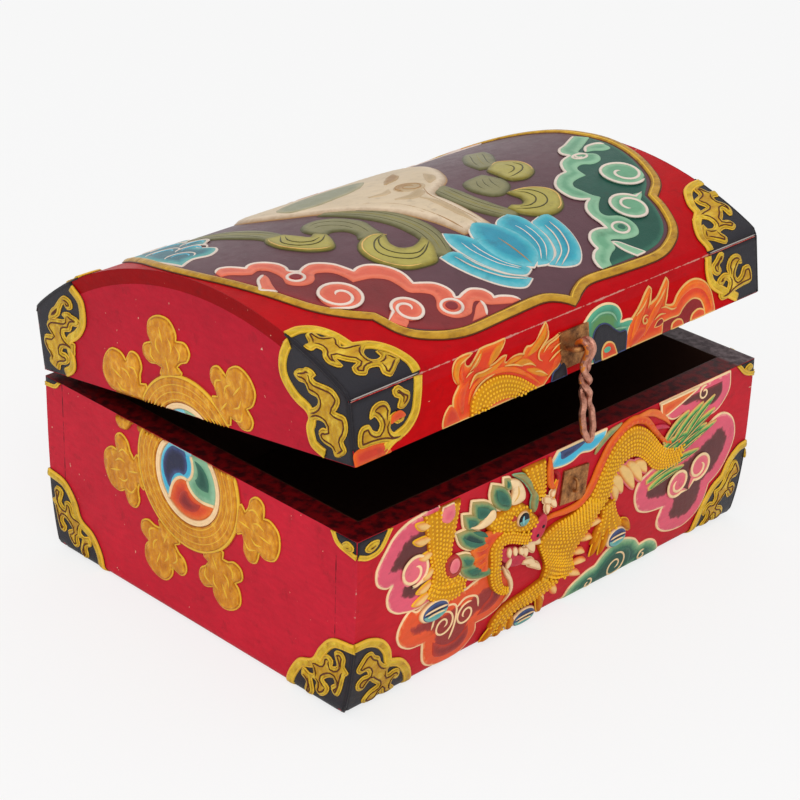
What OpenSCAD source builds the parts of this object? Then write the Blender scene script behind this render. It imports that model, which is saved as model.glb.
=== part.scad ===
// Domed wooden keepsake box: two nailed board halves, a pair of brass butt
// hinges, and a twisted-wire hasp that drops over a low staple.
// Millimetres. +Z up, front towards -Y, origin at the middle of the underside.

/* [Box] */
// Length of the box along its front
box_len = 250; // [180:1:360]
// Depth of the box from front to back
box_depth = 197; // [140:1:280]
// Height of the lower half, foot to rim
base_h = 83.5; // [60:0.5:140]
// Thickness of the side boards
board_t = 12; // [11.5:0.5:18]
// Thickness of the floor board
floor_t = 8; // [4:0.5:14]
// How far the front and back draw in at the foot
foot_inset = 6.3; // [1:0.1:7]
// Radius of the lower edge of the foot
foot_r = 4; // [1:0.5:5]

/* [Lid] */
// Height of the lid's upright faces, rim to arris
lid_side_h = 26.5; // [18:0.5:40]
// Height of the crown above the lid's rim
lid_crown = 60.5; // [48:0.5:85]
// Thickness of the bent top board
top_t = 6.5; // [4:0.5:9]
// Rounding of the long arrises
arris_r = 5; // [2:0.5:8]
// Angle at which the lid stands open
lid_open = 8.5; // [0:0.5:30]

/* [Hinges] */
// Distance of each hinge's middle from its end of the box
hinge_inset = 50; // [24:1:80]
// Width of a hinge along the box
hinge_w = 30; // [18:1:40]
// Depth of a leaf on the rim
leaf_depth = 11; // [8:0.5:11]
// Thickness of a leaf
leaf_t = 1; // [0.8:0.1:1.6]
// Space between the two leaves when they lie parallel
leaf_gap = 0.5; // [0.4:0.1:1]
// Radius of the hinge pin
pin_r = 0.9; // [0.6:0.1:1.1]
// Wall of a knuckle round the pin
knuckle_wall = 0.85; // [0.6:0.05:1.2]
// Radius of a screw's shank
screw_r = 0.9; // [0.6:0.1:1.1]
// Length of a hinge screw
screw_len = 9; // [5:0.5:12]

/* [Hasp] */
// Place of the hasp along the front, from the middle
hasp_x = 0.5; // [-20:0.5:20]
// Height of the hasp's bar above the lid's rim
bar_z = 12.5; // [9:0.5:14]
// Distance of the bar from the lid's face
bar_off = 7.5; // [7:0.1:9]
// Radius of the lid staple's wire
bar_r = 1.2; // [0.8:0.1:1.4]
// Radius of the hasp's wire
wire_r = 1.5; // [1.2:0.1:1.6]
// Length of the hasp, bar to tip
hasp_len = 44; // [40:0.5:48]
// Turns in the hasp's twist
hasp_turns = 1; // [0.5:0.5:3]
// Angle that the hasp's lower end kicks out
hasp_kick = 6; // [4:0.5:9]
// Angle that the hasp stands forward of plumb
hasp_forward = 2; // [1:0.5:6]
// Angle that the hasp leans sideways
hasp_lean = 3.5; // [0:0.5:5]
// Side of the hasp's backing plate along the front
plate_w = 18; // [14:0.5:24]
// Height of the hasp's backing plate
plate_h = 16; // [13:0.5:18]
// Side of the catch's backing plate
catch_side = 16; // [12:0.5:20]
// Tilt of the catch's plate
catch_tilt = 6; // [0:1:12]
// Thickness of both plates
plate_t = 1; // [0.6:0.1:1.2]
// Reach of the catch staple from the base's face
catch_reach = 3.5; // [3:0.1:3.8]
// Radius of the catch staple's wire
catch_r = 0.8; // [0.6:0.1:1]

/* [Wheel relief] */
// Radius of the wheel's rim
wheel_r = 33; // [24:0.5:36]
// Depth of the wheel's centre below the base's rim
wheel_drop = 13; // [8:0.5:16]
// Shift of the wheel's centre towards the back
wheel_y = 2; // [-6:0.5:6]
// Thickness of the raised work
relief_t = 0.9; // [0.5:0.1:1.5]
// Width of the stem under a knob
wheel_stem = 13; // [9:0.5:15]
// Distance of a knob's outer lobe beyond the rim
lobe_out = 16; // [13:0.5:18]
// Radius of a knob's outer lobe
lobe_r = 9; // [7:0.5:11]
// Radius of a knob's side lobes
side_lobe_r = 6.5; // [5:0.5:8]

/* [Lid relief] */
// Height of the relief on the dome
dome_relief_t = 1.1; // [0.6:0.1:1.5]
// Width of the cartouche's border
border_w = 3.6; // [2.5:0.1:5]

/* [Hidden] */
$fn = 64;
EPS = 0.01;

half_len = box_len / 2;
half_depth = box_depth / 2;
inner_depth = half_depth - board_t;

// The rims stand apart by both leaves and the space between them
rim_gap = 2 * leaf_t + leaf_gap;
knuckle_r = pin_r + knuckle_wall;
knuckle_clear = 0.35;
pin_fit = 0.05;
pin_y = half_depth + knuckle_r + knuckle_clear;
hinge_x = half_len - hinge_inset;
pin_z = base_h + rim_gap / 2;

// The dome is one arc that rolls into the upright faces
dome_rise = lid_crown - arris_r - lid_side_h;
dome_span = half_depth - arris_r;
dome_r = (dome_span * dome_span + dome_rise * dome_rise) / (2 * dome_rise) + arris_r;
dome_z = lid_crown - dome_r;

// The hasp's eye turns on the bar; its two strands lie close together
eye_fit = 0.2;
strand_space = 0.1;
eye_r = bar_r + eye_fit + wire_r;
strand_off = wire_r + strand_space / 2;
neck_len = 8;
curl_end = 315;
eye_side_gap = 0.7;
staple_half = strand_off + wire_r + eye_side_gap + bar_r;
kick_start = 24;
slot_start = 26;
slot_run = 4;
slot_end = hasp_len - wire_r - strand_off;
slot_half = wire_r + 1.5;
slot_mid = (slot_start + slot_end) / 2;

// With the lid down, the front rims are this far apart
rim_rest = 0.35;
closed_swing = 7.5;
catch_half = 3;
catch_x = hasp_x + slot_mid * tan(hasp_lean);
catch_z = base_h + rim_rest + bar_z - slot_mid * cos(closed_swing);

clinch_len = 5;
screw_pitch = hinge_w / 3;
lobe_at = wheel_r + lobe_out;
side_lobe_at = lobe_at - 4;
side_lobe_turn = 15;
knob_angles = [-9, 43, 101, 149, 196, 247, 299];

function foot_at(z) =
    foot_inset * pow(1 - z / base_h, 4)
    + (z < foot_r ? foot_r - sqrt(foot_r * foot_r - (foot_r - z) * (foot_r - z)) : 0);

// Points up the drawn-in face, closer together at the foot
foot_steps = 20;
foot_curve = [for (k = [0 : foot_steps]) let (z = base_h * pow(k / foot_steps, 2)) [foot_at(z), z]];

// Extrudes a (y, z) outline along x, centred
module along_x(length) {
    translate([-length / 2, 0, 0]) rotate([90, 0, 90]) linear_extrude(length) children();
}

// Carries children from the lid's own frame, rim at z = 0, to where the lid stands
module on_lid() {
    translate([0, pin_y, pin_z]) rotate([-lid_open, 0, 0])
        translate([0, -pin_y, base_h + rim_gap - pin_z]) children();
}

// ---- lower half ----

module base_outline() {
    intersection() {
        along_x(box_len) polygon(concat(
            [for (p = foot_curve) [-half_depth + p[0], p[1]]],
            [for (k = [foot_steps : -1 : 0]) [half_depth - foot_curve[k][0], foot_curve[k][1]]]));
        rotate([90, 0, 0]) linear_extrude(2 * box_depth, center = true) union() {
            translate([-half_len, foot_r]) square([box_len, base_h]);
            translate([-half_len + foot_r, 0]) square([box_len - 2 * foot_r, base_h]);
            for (side = [-1, 1]) translate([side * (half_len - foot_r), foot_r]) circle(foot_r);
        }
    }
}

module base_long_board(side) {
    intersection() {
        base_outline();
        translate([-box_len, side > 0 ? inner_depth : -half_depth - EPS, -EPS])
            cube([2 * box_len, board_t + EPS, base_h + 1]);
    }
}

module base_end_board(side) {
    intersection() {
        base_outline();
        translate([side > 0 ? half_len - board_t : -half_len - EPS, -inner_depth, -EPS])
            cube([board_t + EPS, 2 * inner_depth, base_h + 1]);
    }
}

module base_front_board() {
    color("firebrick") difference() {
        base_long_board(-1);
        catch_wire();
    }
}

module base_back_board() {
    color("firebrick") difference() {
        base_long_board(1);
        base_screw_set();
    }
}

module base_floor_board() {
    color("saddlebrown")
        translate([-half_len + board_t, -inner_depth, 0])
            cube([box_len - 2 * board_t, 2 * inner_depth, floor_t]);
}

// ---- lid ----

// Full section of the lid: the dome's sector, the upright sides and two rolled arrises
module lid_section() {
    reach = lid_crown / (lid_side_h - dome_z) + 1;
    intersection() {
        translate([0, dome_z]) circle(dome_r, $fn = 256);
        translate([0, dome_z]) polygon([
            [0, 0],
            reach * [dome_span, lid_side_h - dome_z],
            reach * [-dome_span, lid_side_h - dome_z]]);
        translate([-half_depth, 0]) square([box_depth, lid_crown + 1]);
    }
    translate([-half_depth, 0]) square([box_depth, lid_side_h]);
    for (side = [-1, 1]) translate([side * dome_span, lid_side_h]) circle(arris_r);
}

// Section of the frame under the top board
module frame_section() {
    intersection() {
        translate([0, dome_z]) circle(dome_r - top_t, $fn = 256);
        translate([-half_depth, 0]) square([box_depth, lid_crown]);
    }
}

module lid_rail(side) {
    along_x(box_len) intersection() {
        frame_section();
        translate([side > 0 ? inner_depth : -half_depth, 0]) square([board_t, lid_crown]);
    }
}

module lid_gable(side) {
    translate([side * (half_len - board_t / 2), 0, 0]) along_x(board_t) intersection() {
        frame_section();
        translate([-inner_depth, 0]) square([2 * inner_depth, lid_crown]);
    }
}

module lid_front_rail() {
    color("firebrick") on_lid() difference() {
        lid_rail(-1);
        hasp_wire_staple();
    }
}

module lid_back_rail() {
    color("firebrick") on_lid() difference() {
        lid_rail(1);
        lid_screw_set();
    }
}

module lid_top_board() {
    color("firebrick") on_lid() along_x(box_len) difference() {
        lid_section();
        translate([0, dome_z]) circle(dome_r - top_t, $fn = 256);
    }
}

// ---- hinges ----

knuckle_gap = 0.3;
mid_knuckle = hinge_w / 3;
side_knuckle = (hinge_w - mid_knuckle) / 2 - knuckle_gap;

module knuckle(x, length, r) {
    translate([x - length / 2, pin_y, pin_z]) rotate([0, 90, 0]) cylinder(h = length, r = r);
}

// One screw, head up at z = 0
module screw() {
    translate([0, 0, -leaf_t]) cylinder(h = leaf_t, r1 = screw_r, r2 = 2 * screw_r);
    translate([0, 0, -screw_len]) cylinder(h = screw_len - leaf_t + EPS, r = screw_r);
}

module screw_row(x, up) {
    for (k = [-1 : 1])
        translate([x + k * screw_pitch, half_depth - board_t / 2, 0]) mirror([0, 0, up ? 0 : 1]) screw();
}

module base_screw_set() {
    for (side = [-1, 1]) translate([0, 0, base_h + leaf_t]) screw_row(side * hinge_x, true);
}

module lid_screw_set() {
    for (side = [-1, 1]) translate([0, 0, -leaf_t]) screw_row(side * hinge_x, false);
}

module base_leaf(x) {
    color("darkgoldenrod") difference() {
        union() {
            translate([x - hinge_w / 2, half_depth - leaf_depth, base_h])
                cube([hinge_w, leaf_depth + pin_y - half_depth, leaf_t]);
            for (side = [-1, 1])
                knuckle(x + side * (hinge_w - side_knuckle) / 2, side_knuckle, knuckle_r);
        }
        knuckle(x, mid_knuckle + 2 * knuckle_gap, knuckle_r + knuckle_gap);
        knuckle(x, 2 * hinge_w, pin_r + pin_fit);
        base_screw_set();
    }
}

module lid_leaf(x) {
    tongue_w = mid_knuckle - 2 * knuckle_gap;
    color("darkgoldenrod") difference() {
        union() {
            difference() {
                on_lid() translate([x - hinge_w / 2, half_depth - leaf_depth, -leaf_t])
                    cube([hinge_w, leaf_depth + pin_y - half_depth, leaf_t]);
                for (side = [-1, 1])
                    knuckle(x + side * hinge_w / 2, hinge_w - tongue_w, knuckle_r + knuckle_gap);
            }
            knuckle(x, mid_knuckle, knuckle_r);
        }
        knuckle(x, 2 * hinge_w, pin_r + pin_fit);
        on_lid() lid_screw_set();
    }
}

module hinge_pin(x) {
    pin_head = 0.8;
    color("goldenrod") union() {
        knuckle(x, hinge_w + 2 * pin_head, pin_r);
        for (side = [-1, 1])
            knuckle(x + side * (hinge_w + pin_head) / 2, pin_head, pin_r + knuckle_wall / 2);
    }
}

module left_hinge_base_leaf() { base_leaf(-hinge_x); }
module right_hinge_base_leaf() { base_leaf(hinge_x); }
module left_hinge_lid_leaf() { lid_leaf(-hinge_x); }
module right_hinge_lid_leaf() { lid_leaf(hinge_x); }
module left_hinge_pin() { hinge_pin(-hinge_x); }
module right_hinge_pin() { hinge_pin(hinge_x); }
module hinge_base_screws() { color("peru") base_screw_set(); }
module hinge_lid_screws() { color("peru") on_lid() lid_screw_set(); }

// ---- staples and plates ----

// A quarter bend of wire: enters along +y at the origin, leaves along side * x
module wire_bend(side, r) {
    translate([side * 2 * r, 0, 0]) rotate([0, 0, side > 0 ? 90 : 0])
        rotate_extrude(angle = 90) translate([2 * r, 0]) circle(r, $fn = 32);
}

// A wire staple: bar along x at y = -reach, legs back through the board, ends
// clinched outwards against its inner face, which is at y = board_t
module staple(half, reach, r) {
    bend = 2 * r;
    leg_start = bend - reach;
    leg_end = board_t + r - bend;
    translate([bend - half, -reach, 0]) rotate([0, 90, 0]) cylinder(h = 2 * (half - bend), r = r);
    for (side = [-1, 1]) {
        translate([side * half, leg_start, 0]) rotate([180, 0, 0]) wire_bend(-side, r);
        translate([side * half, leg_start, 0]) rotate([-90, 0, 0])
            cylinder(h = leg_end - leg_start, r = r);
        translate([side * half, leg_end, 0]) wire_bend(side, r);
        translate([side * (half + bend), leg_end + bend, 0]) rotate([0, side * 90, 0])
            cylinder(h = clinch_len, r = r);
    }
}

module hasp_wire_staple() {
    translate([hasp_x, -half_depth, bar_z]) staple(staple_half, bar_off, bar_r);
}

module catch_wire() {
    translate([catch_x, -half_depth, catch_z]) rotate([0, 90, 0])
        staple(catch_half, catch_reach - catch_r, catch_r);
}

module hasp_plate() {
    color("saddlebrown") on_lid() difference() {
        translate([hasp_x - plate_w / 2 + 1, -half_depth - plate_t, bar_z - plate_h / 2 - 1])
            cube([plate_w, plate_t, plate_h]);
        hasp_wire_staple();
    }
}

module hasp_staple() { color("peru") on_lid() hasp_wire_staple(); }

module catch_plate() {
    color("saddlebrown") difference() {
        translate([catch_x, -half_depth - plate_t, catch_z]) rotate([0, catch_tilt, 0])
            translate([-catch_side / 2, 0, -catch_side / 2]) cube([catch_side, plate_t, catch_side]);
        catch_wire();
    }
}

module catch_staple() { color("peru") catch_wire(); }

// ---- hasp ----
// One wire bent double: both ends curl round the bar, the strands twist together,
// open into the slot that drops over the catch, and meet in a tight bend.

function ramp(t) = let (s = min(max(t, 0), 1)) s * s * (3 - 2 * s);

// Half distance between the strands at depth d below the bar
function strand_gap(d) =
    strand_off + (slot_half - strand_off)
        * ramp((d - slot_start) / slot_run) * ramp((slot_end - d) / slot_run);

function kick_out(d) =
    let (past = d - kick_start) tan(hasp_kick) * (past + sqrt(past * past + 9)) / 2;

// Middle of the pair at depth d, from the eye's front through the neck to the tip
function spine_at(d) = [max(d, 0) * tan(hasp_lean), -eye_r * (1 - ramp(d / neck_len)) - kick_out(d), -d];

function strand_at(d, side) =
    let (turn = 360 * hasp_turns * ramp((d - neck_len) / (slot_start - neck_len - 1)),
         gap = side * strand_gap(d))
    spine_at(d) + [gap * cos(turn), gap * sin(turn), 0];

// Curl over the bar, from its free end at the back to the front, where the neck starts
function curl_at(a, side) = [side * strand_off, -eye_r * sin(a) - kick_out(0), -eye_r * cos(a)];

bend_depth = hasp_len - wire_r - strand_off;
curl_steps = 14;
strand_steps = 36;
bend_steps = 6;
hasp_path = concat(
    [for (i = [0 : curl_steps - 1]) curl_at(curl_end + (90 - curl_end) * i / curl_steps, -1)],
    [for (i = [0 : strand_steps]) strand_at(bend_depth * i / strand_steps, -1)],
    [for (i = [1 : bend_steps - 1]) let (b = 180 * i / bend_steps)
        spine_at(bend_depth + strand_off * sin(b)) - [strand_off * cos(b), 0, 0]],
    [for (i = [strand_steps : -1 : 0]) strand_at(bend_depth * i / strand_steps, 1)],
    [for (i = [curl_steps - 1 : -1 : 0]) curl_at(curl_end + (90 - curl_end) * i / curl_steps, 1)]);

function unit(v) = v / norm(v);

// Carries a direction square to the wire along its tangents without twisting it
function carried(tangents, i, u) =
    i == len(tangents) ? []
    : let (n = unit(u - (u * tangents[i]) * tangents[i])) concat([n], carried(tangents, i + 1, n));

// A round wire along a list of points
module wire(points, r, sides) {
    last = len(points) - 1;
    tangents = [for (i = [0 : last]) unit(points[min(i + 1, last)] - points[max(i - 1, 0)])];
    normals = carried(tangents, 0, [1, 0, 0]);
    rings = [for (i = [0 : last]) for (k = [0 : sides - 1])
        points[i] + r * (cos(360 * k / sides) * normals[i]
            + sin(360 * k / sides) * cross(tangents[i], normals[i]))];
    polyhedron(points = rings, faces = concat(
        [[for (k = [0 : sides - 1]) k]],
        [for (i = [0 : last - 1]) for (k = [0 : sides - 1]) for (half = [0, 1])
            let (a = i * sides + k, b = i * sides + (k + 1) % sides)
            half == 0 ? [b, a, b + sides] : [b + sides, a, a + sides]],
        [[for (k = [sides - 1 : -1 : 0]) last * sides + k]]), convexity = 6);
}

module hasp() {
    color("rosybrown") on_lid() translate([hasp_x, -half_depth - bar_off, bar_z])
        rotate([lid_open - hasp_forward, 0, 0]) translate([0, kick_out(0), 0])
            wire(hasp_path, wire_r, 10);
}

// ---- wheel relief ----

// Rim disc with trefoil knobs, in (y, z), centred on the hub
module wheel_outline() {
    circle(wheel_r, $fn = 96);
    for (a = knob_angles) rotate(180 - a) {
        translate([0, -wheel_stem / 2]) square([lobe_at, wheel_stem]);
        translate([lobe_at, 0]) circle(lobe_r, $fn = 48);
        for (side = [-1, 1]) rotate(side * side_lobe_turn)
            translate([side_lobe_at, 0]) circle(side_lobe_r, $fn = 48);
    }
}

// The part of the wheel between two heights, on the left (-1) or right (1) end
module wheel_relief(side, hub_z, low, high) {
    translate([side > 0 ? half_len : -half_len - relief_t, 0, 0])
        rotate([90, 0, 90]) linear_extrude(relief_t) intersection() {
            translate([wheel_y, hub_z]) wheel_outline();
            translate([-half_depth, low]) square([box_depth, high - low]);
        }
}

module base_wheel(side) {
    color("goldenrod") wheel_relief(side, base_h - wheel_drop, 0, base_h);
}

module lid_wheel(side) {
    color("goldenrod") on_lid() wheel_relief(side, -wheel_drop - rim_gap, 0, lid_crown);
}

module base_left_board() { color("crimson") base_end_board(-1); }
module base_right_board() { color("crimson") base_end_board(1); }
module lid_left_gable() { color("crimson") on_lid() lid_gable(-1); }
module lid_right_gable() { color("crimson") on_lid() lid_gable(1); }
module base_left_wheel() { base_wheel(-1); }
module base_right_wheel() { base_wheel(1); }
// ---- relief on the dome ----
// Its outlines are drawn on the dome rolled flat: x, then the run from the crown, minus to the front.

dome_run = dome_r * (90 - atan2(lid_side_h - dome_z, dome_span)) * PI / 180;

function unroll(p) = [p[0], dome_r * sin(p[1] / dome_r * 180 / PI)];

// A point set in from the box's end and from the arris at the front
function from_end(side, p) = [side * (half_len - p[0]), -(dome_run - p[1])];

// Right half of the border, from the crown line to the middle of the front
right_edge = [[2, 100], [2.5, 84], [4.5, 74], [8, 62], [13, 51], [19.5, 40.5], [31, 32.5], [33.5, 24.5],
    [40, 13], [50, 6], [63, 2.8]];
left_edge = [[3.5, 100], [4.5, 86], [8.5, 72], [14, 58.5], [21, 42.5], [30, 32.5], [39.5, 26], [45, 13.5],
    [55, 6.5], [70, 2.8]];
front_edge = [[40, 2.6], [20, 3.4], [10, 1.2], [4, -2.8], [-1, 0.6], [-10, 3.4], [-32, 3]];

function side_run(side, edge, w) = [for (p = edge) from_end(side, [p[0] + w, p[1] > 90 ? dome_run : p[1] + w])];
function front_run(w) = [for (p = front_edge) [p[0], -(dome_run - p[1] - w)]];
function flip(list) = [for (i = [len(list) - 1 : -1 : 0]) [list[i][0], -list[i][1]]];
function front_half(w) = concat(side_run(1, right_edge, w), front_run(w),
    [for (i = [len(left_edge) - 1 : -1 : 0]) side_run(-1, left_edge, w)[i]]);
function border_line(w) = concat(front_half(w), [for (p = flip(front_half(w))) if (abs(p[1]) > 0.01) p]);

module unrolled(points) {
    polygon([for (p = points) unroll(p)]);
}

module over_dome() {
    on_lid() color("goldenrod") intersection() {
        translate([0, 0, lid_side_h]) linear_extrude(lid_crown) children();
        rotate([90, 0, 90]) translate([0, dome_z, -half_len]) linear_extrude(box_len) difference() {
            circle(dome_r + dome_relief_t, $fn = 256);
            circle(dome_r, $fn = 256);
        }
    }
}

// Scarf strokes as centre points with half a width, and the curls that they end in
left_strokes = [
    [[[-84, 44], [-82, 30], [-78, 16], [-74, 2]], 4],
    [[[-58, 2], [-46, 1], [-39, -6], [-37, -16], [-38.5, -28]], 4.6],
    [[[-34, 14], [-27, 2], [-21, -14], [-18.5, -30], [-21, -49]], 3.6]];
right_strokes = [
    [[[84, 46], [76, 28], [66, 14], [57, 5], [54, -3]], 3.8],
    [[[31, -22], [31, -12], [38, -4], [48, -4], [52, -12], [48, -21]], 4.2],
    [[[22, 4], [17, -8], [16, -24], [20, -38], [28, -49]], 3.8]];
left_curls = [
    [[-36, -26], [-46, -26.5], [-54, -32], [-57, -41], [-54, -50], [-46, -56.5], [-36, -58.5], [-26, -55.5],
        [-20, -47.5], [-26, -43.5], [-33, -44], [-40, -47], [-45, -43], [-46, -36], [-42, -30]],
    [[-73, 3.5], [-77.5, -4], [-77, -13], [-71, -21], [-62, -25.5], [-54, -21], [-52, -13], [-58, -14],
        [-64, -13], [-68.5, -7], [-69, -0.5]]];
right_curls = [
    [[45, -31], [53, -34], [57.5, -42], [54, -51.5], [45, -56.5], [35, -54.5], [27.5, -47.5], [31, -40.5],
        [38, -42.5], [45, -45.5], [49, -42], [48.5, -36]],
    [[64, 0.5], [70, -3], [72.5, -12], [68.5, -21.5], [59, -24.5], [50, -19], [55, -15], [61, -14.5],
        [65, -10], [65.5, -4.5]]];
conch_edge = [[-6.5, -41], [-9, -34], [-10, -22], [-14, -13], [-24, -3], [-36, 11], [-48, 27], [-52, 42],
    [-42, 60], [-22, 72], [0, 76], [22, 70], [40, 56], [47, 40], [43, 22], [36, 10], [31, 0], [22, -7],
    [14.5, -11], [12.5, -22], [11, -34], [9, -41]];
lotus_edge = [[1.5, -43], [-4.5, -49], [-10.5, -49.5], [-16, -45], [-20.5, -51], [-22, -57.5], [-31, -57.5],
    [-31.5, -64], [-28, -74], [-21, -83], [-11, -88.5], [-4, -84], [2, -80.5], [8, -84], [15, -88.5],
    [25.5, -83], [33, -74], [36.5, -64], [36, -57], [26.5, -57.5], [25, -52.5], [20.5, -46.5], [14.5, -50.5],
    [8.5, -49]];

module stroke(line, half_w) {
    last = len(line) - 1;
    function across(i) = let (d = line[min(last, i + 1)] - line[max(0, i - 1)])
        half_w * [-d[1], d[0]] / norm(d);
    unrolled(concat([for (i = [0 : last]) line[i] + across(i)],
        [for (i = [last : -1 : 0]) line[i] - across(i)]));
}

module scarf_outline(strokes, curls) {
    for (s = strokes) stroke(s[0], s[1]);
    for (c = curls) unrolled(c);
}

// Clouds in the front corners of the cartouche, set in from the ends and the arris
right_cloud = [[3, 96], [17, 93], [25, 87], [28, 78], [37, 76], [47, 70], [57, 63], [62, 54], [64, 46],
    [66, 38], [66, 30], [63, 24], [69, 20], [75, 23], [82, 20], [88, 13], [94, 2], [75, -4], [20, -4], [-4, 30]];
left_cloud = [[6, 88], [15, 86], [24, 81], [31, 74], [32.5, 67], [30, 62], [39, 60], [49, 59], [56, 52],
    [65, 48], [70, 40], [69, 30], [76, 26], [80, 17], [89, 16], [97, 11], [108, 5], [75, -4], [20, -4], [-4, 30]];

module cloud_outline(side, edge) {
    difference() {
        intersection() {
            unrolled([for (p = edge) from_end(side, p)]);
            unrolled(border_line(border_w));
        }
        scarf_outline(side < 0 ? left_strokes : right_strokes, side < 0 ? left_curls : right_curls);
    }
}

module lid_cartouche() {
    over_dome() difference() {
        unrolled(border_line(0));
        unrolled(border_line(border_w));
    }
}

module lid_conch() { over_dome() unrolled(conch_edge); }

module lid_lotus() {
    over_dome() intersection() {
        unrolled(lotus_edge);
        unrolled(border_line(border_w));
    }
}

module scarf(strokes, curls) {
    over_dome() difference() {
        scarf_outline(strokes, curls);
        unrolled(conch_edge);
        unrolled(lotus_edge);
    }
}

module lid_left_scarf() { scarf(left_strokes, left_curls); }
module lid_right_scarf() { scarf(right_strokes, right_curls); }

module lid_left_cloud() { over_dome() cloud_outline(-1, left_cloud); }
module lid_right_cloud() { over_dome() cloud_outline(1, right_cloud); }

module lid_left_wheel() { lid_wheel(-1); }
module lid_right_wheel() { lid_wheel(1); }

base_front_board();
base_back_board();
base_left_board();
base_right_board();
base_floor_board();
lid_front_rail();
lid_back_rail();
lid_left_gable();
lid_right_gable();
lid_top_board();
left_hinge_base_leaf();
left_hinge_lid_leaf();
left_hinge_pin();
right_hinge_base_leaf();
right_hinge_lid_leaf();
right_hinge_pin();
hinge_base_screws();
hinge_lid_screws();
hasp_plate();
hasp_staple();
hasp();
catch_plate();
catch_staple();
base_left_wheel();
base_right_wheel();
lid_left_wheel();
lid_right_wheel();
lid_cartouche();
lid_conch();
lid_lotus();
lid_left_scarf();
lid_right_scarf();
lid_left_cloud();
lid_right_cloud();
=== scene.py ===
"""Looks of the domed keepsake box: camera, light, materials and the painted gesso relief.

Lengths are in millimetres in the box's own frame (front towards -Y) until a mesh is made.
Ornament is drawn flat, in (u, v) on the face that it lies on, and laid on that face by a
place function, which also takes the height above the paint. Its outlines were read off the
photograph. A point with a third value is a sharp corner.
"""
import math
from collections import namedtuple

import bmesh
import bpy
import numpy as np
from mathutils import Matrix, Vector
from mathutils.geometry import delaunay_2d_cdt


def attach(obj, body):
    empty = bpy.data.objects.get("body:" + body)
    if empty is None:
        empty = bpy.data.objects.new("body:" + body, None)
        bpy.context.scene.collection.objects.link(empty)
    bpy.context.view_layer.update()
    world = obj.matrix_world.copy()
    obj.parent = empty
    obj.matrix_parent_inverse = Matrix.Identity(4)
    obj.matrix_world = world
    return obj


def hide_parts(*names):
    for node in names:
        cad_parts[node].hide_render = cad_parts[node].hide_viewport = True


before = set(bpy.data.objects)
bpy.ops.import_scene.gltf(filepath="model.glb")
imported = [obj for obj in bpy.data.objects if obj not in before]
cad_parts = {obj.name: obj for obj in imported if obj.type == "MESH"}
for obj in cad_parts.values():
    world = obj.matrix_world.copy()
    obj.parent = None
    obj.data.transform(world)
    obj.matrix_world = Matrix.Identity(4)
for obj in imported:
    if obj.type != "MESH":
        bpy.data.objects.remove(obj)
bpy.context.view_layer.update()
MM = 0.001

# ---------------------------------------------------------------- the box's sizes
HALF_LEN, HALF_DEPTH, BASE_H = 125.0, 98.5, 83.5
BOARD_T, TOP_T = 12.0, 6.5
FOOT_INSET, FOOT_R = 6.3, 4.0
RIM_GAP, LID_OPEN = 2.5, math.radians(8.5)
LID_SIDE_H, LID_CROWN, ARRIS_R = 26.5, 60.5, 5.0
PIN = (100.6, 84.75)
PIN_ON_LID = PIN[1] - BASE_H - RIM_GAP
DOME_RISE = LID_CROWN - ARRIS_R - LID_SIDE_H
DOME_SPAN = HALF_DEPTH - ARRIS_R
DOME_R = (DOME_SPAN**2 + DOME_RISE**2) / (2 * DOME_RISE) + ARRIS_R
DOME_Z = LID_CROWN - DOME_R
ARRIS_TURN = math.atan2(LID_SIDE_H - DOME_Z, DOME_SPAN)
DOME_HALF = DOME_R * (math.pi / 2 - ARRIS_TURN)
WHEEL_U, WHEEL_DROP = -2.0, 13.0
# how far paint stays from the rims and the table, and a wheel from the seam
RIM_CLEAR, FOOT_CLEAR, SEAM_CLEAR = 0.15, 0.05, 0.3
# where corner panels stop: at the sides and the top of the front and of the ends, and at the foot
FACE_U, FACE_V, END_U, END_V, FOOT_V = 124.8, 83.2, 98.2, 83.3, 0.2
# the middle of the painted arris between front and end
ARRIS_U = 124.9
# a wheel's radius where its knobs start, and the radius of its hub
KNOB_R, HUB_R = 31.4, 17.7
# how far the undersides of patches and beads sink into what they lie on
PATCH_SINK, BEAD_SINK = 0.12, 0.1
TINY = 1e-9


# ---------------------------------------------------------------- places on the faces
def stand_lid(x, y, z):
    """From the lid's own frame, rim at z = 0, to where the lid stands open."""
    y, z = y - PIN[0], z + BASE_H + RIM_GAP - PIN[1]
    c, s = math.cos(LID_OPEN), math.sin(LID_OPEN)
    return x, c * y + s * z + PIN[0], c * z - s * y + PIN[1]


def foot_curl(z):
    """How far the rounded lower edge draws in at a height."""
    return FOOT_R - math.sqrt(max(0.0, FOOT_R**2 - (FOOT_R - z) ** 2)) if z < FOOT_R else 0.0


def foot_at(z):
    """How far the front and back draw in at a height."""
    return FOOT_INSET * max(0.0, 1 - z / BASE_H) ** 4 + foot_curl(z)


def on_base_front(u, v, h):
    return u, -HALF_DEPTH + foot_at(v) - h, v


def on_base_left(u, v, h):
    return -HALF_LEN + foot_curl(v) - h, -u, v


def on_base_right(u, v, h):
    return HALF_LEN - foot_curl(v) + h, -u, v


def on_lid_left(u, v, h):
    return stand_lid(-HALF_LEN - h, -u, v)


def on_lid_right(u, v, h):
    return stand_lid(HALF_LEN + h, -u, v)


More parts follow.
